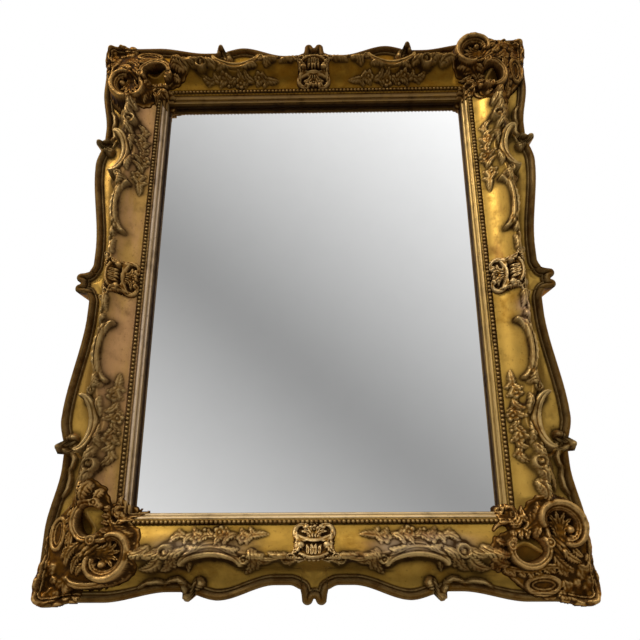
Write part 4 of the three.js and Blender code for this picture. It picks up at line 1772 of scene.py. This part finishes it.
class Nodes:
    """A node tree that is built step by step."""

    def __init__(self, tree: bpy.types.NodeTree) -> None:
        """Starts with the tree as it is."""
        self.tree = tree

    def node(self, kind: str, **settings: object) -> bpy.types.Node:
        """Adds a node and sets its properties.

        Args:
            kind: type of the node.
            settings: its properties.
        Returns:
            The node.
        """
        node = self.tree.nodes.new(kind)
        for key, value in settings.items():
            setattr(node, key, value)
        return node

    def feed(self, socket: Socket, value: object) -> None:
        """Links a socket to another, or sets its value.

        Args:
            socket: the socket that is fed.
            value: another socket or a plain value.
        """
        if isinstance(value, Socket):
            self.tree.links.new(value, socket)
        else:
            socket.default_value = value

    def ramp(self, value: object, low: float, high: float, to_low: float = 0.0,
             to_high: float = 1.0) -> Socket:
        """Smooth step of a value between two limits.

        Args:
            value: the value.
            low: where the step starts.
            high: where it ends.
            to_low: result before the start.
            to_high: result past the end.
        Returns:
            The result.
        """
        node = self.node("ShaderNodeMapRange", interpolation_type="SMOOTHSTEP")
        for socket, item in zip(node.inputs, (value, low, high, to_low, to_high)):
            self.feed(socket, item)
        return node.outputs["Result"]

    def math(self, kind: str, first: object, second: object, clamp: bool = False) -> Socket:
        """Arithmetic on two values.

        Args:
            kind: name of the operation.
            first: first value.
            second: second value.
            clamp: whether the result stays between 0 and 1.
        Returns:
            The result.
        """
        node = self.node("ShaderNodeMath", operation=kind, use_clamp=clamp)
        self.feed(node.inputs[0], first)
        self.feed(node.inputs[1], second)
        return node.outputs[0]

    def add(self, first: object, second: object) -> Socket:
        """Sum of two values."""
        return self.math("ADD", first, second)

    def times(self, first: object, second: object) -> Socket:
        """Product of two values."""
        return self.math("MULTIPLY", first, second)


class Shader(Nodes):
    """A material's node tree with a principled shader."""

    def __init__(self, name: str) -> None:
        """Starts the material.

        Args:
            name: name of the material.
        """
        self.material = bpy.data.materials.new(name)
        self.material.use_nodes = True
        super().__init__(self.material.node_tree)
        self.surface = self.tree.nodes["Principled BSDF"]
        self.place = self.node("ShaderNodeTexCoord").outputs["Object"]

    def finish(self, **values: object) -> bpy.types.Material:
        """Feeds the sockets of the surface, by name with _ for a space.

        Args:
            values: what each socket gets.
        Returns:
            The material.
        """
        for name, value in values.items():
            self.feed(self.surface.inputs[name.replace("_", " ")], value)
        return self.material

    def noise(self, scale: float, detail: float = 4.0, stretch: Sequence[float] = (1, 1, 1),
              rough: float = 0.55) -> Socket:
        """Noise over the object.

        Args:
            scale: how fine the noise is.
            detail: how many finer layers it has.
            stretch: how much finer it is along each direction.
            rough: how strong the finer layers are.
        Returns:
            Its value.
        """
        mapping = self.node("ShaderNodeMapping")
        self.feed(mapping.inputs["Vector"], self.place)
        mapping.inputs["Scale"].default_value = stretch
        noise = self.node("ShaderNodeTexNoise")
        for name, value in (("Vector", mapping.outputs["Vector"]), ("Scale", scale), ("Detail", detail),
                            ("Roughness", rough)):
            self.feed(noise.inputs[name], value)
        return noise.outputs["Fac"]

    def mask(self, name: str) -> Socket:
        """A value that the mesh carries at its points."""
        return self.node("ShaderNodeAttribute", attribute_name=name).outputs["Fac"]

    def mix(self, share: object, first: object, second: object) -> Socket:
        """Mix of two colours.

        Args:
            share: share of the second colour.
            first: first colour.
            second: second colour.
        Returns:
            The colour.
        """
        node = self.node("ShaderNodeMix", data_type="RGBA")
        self.feed(node.inputs[0], share)
        for socket, value in ((node.inputs[6], first), (node.inputs[7], second)):
            self.feed(socket, value if isinstance(value, Socket) else (*value, 1.0))
        return node.outputs[2]

    def bump(self, height: Socket, strength: float, distance: float) -> None:
        """Small relief on the surface.

        Args:
            height: the relief.
            strength: how much of it shows.
            distance: its full height in metres.
        """
        node = self.node("ShaderNodeBump")
        for name, value in (("Height", height), ("Strength", strength), ("Distance", distance)):
            self.feed(node.inputs[name], value)
        self.feed(self.surface.inputs["Normal"], node.outputs["Normal"])


@dataclass(frozen=True)
class Gilding:
    """Worn leaf over red ground, toned with umber, darkened in the creases with dirt and painted shade, and
    lightened on the crests and the lip with rubbed wear and painted highlight.

    tone, wear and streak say how dark it is toned, how much ground shows, and how its streaks run.
    """

    name: str
    leaf: Colour = (0.46, 0.27, 0.048)
    toned: Colour = (0.31, 0.155, 0.017)
    umber: Colour = (0.128, 0.044, 0.0025)
    ground: Colour = (0.24, 0.095, 0.025)
    chalk: Colour = (0.62, 0.38, 0.20)
    # Colours of the painted highlight, with rubbed wear, on the crests and on the lip, and of the dirt and
    # painted shade in the creases
    polish_and_highlight: Colour = (0.62, 0.43, 0.17)
    lip: Colour = (0.62, 0.44, 0.22)
    dirt_and_shade: Colour = (0.022, 0.0080, 0.0012)
    wood: Colour = (0.30, 0.19, 0.10)
    tint: Colour = (1.0, 0.58, 0.22)
    tone: float = 0.45
    wear: float = 0.3
    streak: Triple = (1, 1, 1)
    roughness: float = 0.4
    metal: float = 0.85

    def material(self) -> bpy.types.Material:
        """Builds the material, one layer over the other.

        Returns:
            The material.
        """
        s = Shader(self.name)
        broad = s.noise(9.0, 3.0)
        fine = s.noise(70.0, 6.0, rough=0.65)
        streaks = s.noise(26.0, 5.0, self.streak, 0.6)
        colour = self.leaf_and_tone(s, broad, fine)
        worn = s.ramp(s.add(s.times(streaks, 0.7), s.times(broad, 0.3)),
                      0.66 - 0.3 * self.wear, 0.80 - 0.3 * self.wear)
        colour = s.mix(s.times(worn, 0.8), colour, self.ground)
        chalky = s.times(s.times(s.ramp(streaks, 0.36, 0.6, 0.35, 1.0), s.mask("worn")), 0.85)
        colour = s.mix(chalky, colour, self.chalk)
        # Painted highlight on the crests, partly rubbed wear, in the polish colour
        colour = s.mix(s.times(s.mask("rub"), s.ramp(fine, 0.3, 0.6, 0.3, 0.85)), colour, self.polish_and_highlight)
        # Painted highlight on the lip's reed crests, partly rubbed wear, stronger on the sides that the light
        # falls on
        colour = s.mix(s.times(s.mask("lip"), s.ramp(streaks, 0.3, 0.6, 0.6, 1.0)), colour, self.lip)
        # Painted shade in the creases, with dirt, and real dirt in specks and patches
        dirty_and_shaded = self.dirt_and_shade_share(s, broad)
        colour = s.mix(dirty_and_shaded, colour, self.dirt_and_shade)
        bare = s.mask("bare")
        dark_wood = tuple(0.6 * c for c in self.wood)
        colour = s.mix(bare, colour, s.mix(s.noise(14.0, 6.0, (1, 1, 8)), self.wood, dark_wood))
        dull = s.add(s.times(dirty_and_shaded, 0.75), s.times(s.add(chalky, worn), 0.35))
        metal = s.times(s.math("SUBTRACT", self.metal, dull, clamp=True), s.math("SUBTRACT", 1.0, bare))
        smooth = s.ramp(fine, 0.3, 0.75, self.roughness - 0.06, self.roughness + 0.14)
        rough = s.math("ADD", smooth, s.times(s.add(dirty_and_shaded, bare), 0.35), clamp=True)
        s.bump(s.add(fine, s.times(streaks, 0.6)), 0.25, 0.0006)
        return s.finish(Base_Color=colour, Metallic=metal, Specular_IOR_Level=0.24,
                        Specular_Tint=(*self.tint, 1.0), Roughness=rough)

    def leaf_and_tone(self, s: Shader, broad: Socket, fine: Socket) -> Socket:
        """The leaf, darker where it is toned, and umber over the carving.

        Args:
            s: the material's tree.
            broad: broad noise.
            fine: fine noise.
        Returns:
            The colour.
        """
        start = 0.62 - self.tone * 0.4
        tone = s.ramp(s.add(s.times(broad, 0.6), s.times(fine, 0.4)), start, start + 0.24)
        carved = s.times(s.mask("carved"), s.ramp(fine, 0.3, 0.65, 1.0, 0.72))
        return s.mix(carved, s.mix(tone, self.leaf, self.toned), self.umber)

    def dirt_and_shade_share(self, s: Shader, broad: Socket) -> Socket:
        """How dark each place is: painted shade with dirt in the creases, and dirt in specks and patches all
        over.

        Args:
            s: the material's tree.
            broad: broad noise.
        Returns:
            The share.
        """
        specks = s.times(s.ramp(s.noise(240.0, 3.0, rough=0.7), 0.60, 0.70), 0.4)
        patches = s.times(s.ramp(s.noise(45.0, 5.0, rough=0.65), 0.48, 0.72), 0.3)
        shaded_and_dirty = s.add(s.mask("grime"), s.math("MAXIMUM", specks, patches))
        return s.math("MULTIPLY", shaded_and_dirty, s.ramp(broad, 0.2, 0.7, 0.75, 1.0), clamp=True)


@dataclass(frozen=True)
class Plain:
    """A simple finish with fine variation: wood, steel or silvered glass."""

    name: str
    light: Colour
    dark: Colour
    metallic: float
    roughness: float
    spread: float = 0.1
    scale: float = 30.0
    stretch: Triple = (1, 1, 1)
    relief: float = 0.1

    def material(self) -> bpy.types.Material:
        """Builds the material.

        Returns:
            The material.
        """
        s = Shader(self.name)
        grain = s.noise(self.scale, 6.0, self.stretch)
        if self.relief:
            s.bump(grain, self.relief, 0.0004)
        colour = s.mix(s.ramp(grain, 0.35, 0.7), self.light, self.dark)
        rough = s.ramp(grain, 0.3, 0.7, self.roughness, self.roughness + self.spread)
        return s.finish(Base_Color=colour, Metallic=self.metallic, Roughness=rough)


@dataclass
class Studio:
    """Camera, light, surroundings and floor, none of them part of the object.

    The camera's place is in metres, its angles in degrees, and its focal length in widths of the picture.
    """

    middle: Vector = field(default_factory=lambda: Vector((0, -0.03, SIGHT_MIDDLE * MM)))
    camera_place: Triple = (0.0208, -0.8078, -0.6733)
    pitch: float = 19.47
    yaw: float = -0.97
    roll: float = -0.243
    focal_length: float = 620.0 / 640.0
    sensor: float = 36.0
    lamp_colour: Colour = (1.0, 0.96, 0.9)
    floor_height: float = -1.6
    slant: Pair = (0.861, 0.227)

    def build(self) -> None:
        """Sets up everything around the object."""
        self.camera()
        self.surroundings()
        self.lamp("key", (-1.5, -1.3, 1.4), 0.9, 6, 70)
        self.lamp("sky", (0.2, -0.7, 1.9), 1.0, 2, 90)
        self.floor()

    def camera(self) -> None:
        """Puts the camera where the photo was taken."""
        pitch, yaw, roll = (math.radians(angle) for angle in (self.pitch, self.yaw, self.roll))
        ahead = Vector((math.sin(yaw) * math.cos(pitch), math.cos(yaw) * math.cos(pitch), math.sin(pitch)))
        right = ahead.cross(Vector((0, 0, 1))).normalized()
        up = right.cross(ahead)
        right, up = (right * math.cos(roll) + up * math.sin(roll),
                     up * math.cos(roll) - right * math.sin(roll))
        data = bpy.data.cameras.new("camera")
        data.sensor_width, data.lens = self.sensor, self.focal_length * self.sensor
        data.clip_end = 50.0
        camera = bpy.data.objects.new("camera", data)
        turn = Matrix((right, up, -ahead)).transposed().to_4x4()
        camera.matrix_world = Matrix.Translation(self.camera_place) @ turn
        bpy.context.collection.objects.link(camera)
        bpy.context.scene.camera = camera

    def surroundings(self) -> None:
        """White behind the object, soft grey in front of it, dark below."""
        world = bpy.data.worlds.new("studio")
        bpy.context.scene.world = world
        world.use_nodes = True
        world.node_tree.nodes.clear()
        nodes = Nodes(world.node_tree)
        split = nodes.node("ShaderNodeSeparateXYZ")
        nodes.feed(split.inputs[0], nodes.node("ShaderNodeTexCoord").outputs["Generated"])
        x, y, z = split.outputs
        below = nodes.ramp(z, -0.3, -0.01, 0.03, 1.0)
        level = nodes.node("ShaderNodeMix", data_type="FLOAT")
        nodes.feed(level.inputs[0], nodes.ramp(y, -0.05, 0.25))
        nodes.feed(level.inputs[2], nodes.times(self.grey_in_front(nodes, x, y, z), below))
        nodes.feed(level.inputs[3], nodes.ramp(z, -0.45, -0.2, 0.05, 1.0))
        shine = nodes.node("ShaderNodeBackground")
        nodes.feed(shine.inputs["Color"], (1.0, 1.0, 1.0, 1.0))
        nodes.feed(shine.inputs["Strength"], level.outputs[0])
        output = nodes.node("ShaderNodeOutputWorld")
        nodes.feed(output.inputs["Surface"], shine.outputs["Background"])

    def grey_in_front(self, nodes: Nodes, x: Socket, y: Socket, z: Socket) -> Socket:
        """What the glass shows: a slanting dark band between two light ones, darker overhead and aside.

        Args:
            nodes: the world's tree.
            x: direction to the right.
            y: direction into the wall.
            z: direction up.
        Returns:
            The brightness.
        """
        tilt, offset = self.slant
        ahead = nodes.math("MAXIMUM", nodes.times(y, -1.0), 0.12)
        across, up = nodes.math("DIVIDE", x, ahead), nodes.math("DIVIDE", z, ahead)
        past = nodes.math("SUBTRACT", nodes.add(up, nodes.times(across, tilt)), offset)
        rounded = nodes.math("SQRT", nodes.add(nodes.times(past, past), 0.003), 0.0)
        band = nodes.add(nodes.times(nodes.math("MINIMUM", rounded, 0.75), 1.12), 0.295)
        overhead = nodes.ramp(up, 0.9, 2.2, 1.0, 0.34)
        far = nodes.math("SUBTRACT", nodes.times(up, 1.1), nodes.times(across, 0.6))
        left, right = nodes.ramp(far, 1.1, 1.9, 1.0, 0.42), nodes.ramp(across, 0.5, 1.6, 1.0, 0.85)
        return nodes.times(nodes.times(band, overhead), nodes.times(left, right))

    def lamp(self, name: str, place: Sequence[float], size: float, power: float, spread: float) -> None:
        """Adds a soft lamp that faces the object.

        Args:
            name: name of the lamp.
            place: its place in metres.
            size: its width in metres.
            power: its power in watts.
            spread: angle of its light in degrees.
        """
        bpy.ops.object.light_add(type="AREA", location=place)
        lamp = bpy.context.object
        lamp.name = name
        lamp.data.shape = "SQUARE"
        lamp.data.size = size
        lamp.data.energy = power
        lamp.data.spread = math.radians(spread)
        lamp.data.color = self.lamp_colour
        lamp.rotation_euler = (self.middle - Vector(place)).to_track_quat("-Z", "Y").to_euler()

    def floor(self) -> None:
        """A pale floor, well below the object."""
        bpy.ops.mesh.primitive_plane_add(size=3.0, location=(0, 0, self.floor_height))
        floor = bpy.context.object
        floor.name = "floor"
        bpy.ops.object.transform_apply(location=True, rotation=True, scale=True)
        dress(floor, Plain("pale_floor", (0.6, 0.59, 0.57), (0.55, 0.54, 0.52), 0.0, 0.7).material())


# Lit and shaded copies as painted light: the top rail's finish and the top corners' ornament finish are
# darker as painted shade, the right rail's leaf and the finish of the bottom and right cartouches are lighter
# as painted light, and the pale lip colours of the bottom and left rails are painted highlight
FINISHES = (
    Gilding("gilt_top", leaf=(0.44, 0.225, 0.026), toned=(0.30, 0.13, 0.010), umber=(0.090, 0.034, 0.0025),
            polish_and_highlight=(0.42, 0.26, 0.09), lip=(0.60, 0.39, 0.19), tone=0.6, wear=0.2, streak=(0.3, 1, 1)),
    Gilding("gilt_right", leaf=(0.50, 0.30, 0.06), chalk=(0.80, 0.52, 0.38), tone=0.3, wear=0.25,
            streak=(1, 1, 0.3)),
    Gilding("gilt_bottom", chalk=(0.44, 0.31, 0.18), lip=(0.80, 0.64, 0.42), tone=0.4, streak=(0.3, 1, 1)),
    Gilding("gilt_left", umber=(0.095, 0.038, 0.004), chalk=(0.54, 0.29, 0.13), polish_and_highlight=(0.50, 0.34, 0.14),
            lip=(0.84, 0.66, 0.48), tone=0.4, streak=(1, 1, 0.3)),
    Gilding("gilt_ornament", leaf=(0.42, 0.21, 0.035), toned=(0.28, 0.12, 0.011), umber=(0.108, 0.038, 0.003),
            polish_and_highlight=(0.60, 0.37, 0.13), tone=0.75, wear=0.25),
    Gilding("bright_ornament", umber=(0.155, 0.069, 0.010), polish_and_highlight=(0.70, 0.50, 0.23), tone=0.6),
    Gilding("dark_ornament", leaf=(0.34, 0.16, 0.025), toned=(0.21, 0.085, 0.008),
            umber=(0.078, 0.027, 0.002), polish_and_highlight=(0.43, 0.25, 0.08), tone=0.85, wear=0.2),
    Plain("silvered_glass", (0.866, 0.87, 0.868), (0.856, 0.86, 0.858), 1.0, 0.02, 0.01, relief=0),
    Plain("raw_board", (0.42, 0.29, 0.17), (0.27, 0.17, 0.09), 0.0, 0.75, 0.15, 9.0, (6, 1, 0.5), 0.4),
    Plain("hanger_plate", (0.6, 0.6, 0.58), (0.4, 0.39, 0.37), 1.0, 0.35, 0.25, 60.0, (1, 1, 0.2), 0.2),
)
CAD_FINISHES = {"mirror_glass": "silvered_glass", "backboard": "raw_board", "hanger_left": "hanger_plate",
                "hanger_right": "hanger_plate"}


def dress(piece: bpy.types.Object, material: bpy.types.Material) -> None:
    """Gives a piece its only material."""
    piece.data.materials.clear()
    piece.data.materials.append(material)


def report(*pieces: bpy.types.Object) -> None:
    """Logs the size of each finished piece."""
    for piece in pieces:
        log.info("%s: %d faces", piece.name, len(piece.data.polygons))


def main() -> None:
    """Builds the mirror and its studio."""
    logging.basicConfig(level=logging.INFO, format="%(message)s")
    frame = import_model()
    materials = {finish.name: finish.material() for finish in FINISHES}
    for name, finish in CAD_FINISHES.items():
        dress(frame["nodes"][name], materials[finish])
    for sweep, sides in ((SHORT, (Side.TOP, Side.BOTTOM)), (LONG, (Side.RIGHT, Side.LEFT))):
        sheets = {end: RailCarving(sweep, end).sheet() for end in (1, -1)}
        cartouche = Cartouche(sweep)
        relief = cartouche.sheet()
        for side in sides:
            word = side.name.lower()
            rail = Rail(side, sweep, sheets).build()
            dress(rail, materials[f"gilt_{word}"])
            ornament = Casting(f"cartouche_{word}", relief, cartouche.place_on(side)).build()
            # Lit copy of the finish on the bottom and right cartouches: painted light
            in_light = side in (Side.BOTTOM, Side.RIGHT)
            dress(ornament, materials["bright_ornament" if in_light else "gilt_ornament"])
            report(rail, ornament)
    for corner in Corner:
        ornament = Casting(f"corner_{corner.name.lower()}", corner.value.sheet(), corner.place).build()
        # Shaded copy of the finish on the top corners: painted shade
        in_shade = corner in (Corner.TOP_LEFT, Corner.TOP_RIGHT)
        dress(ornament, materials["dark_ornament" if in_shade else "gilt_ornament"])
        report(ornament)
    Studio().build()
    bpy.context.scene.view_settings.view_transform = "Standard"


if __name__ == "__main__":
    main()
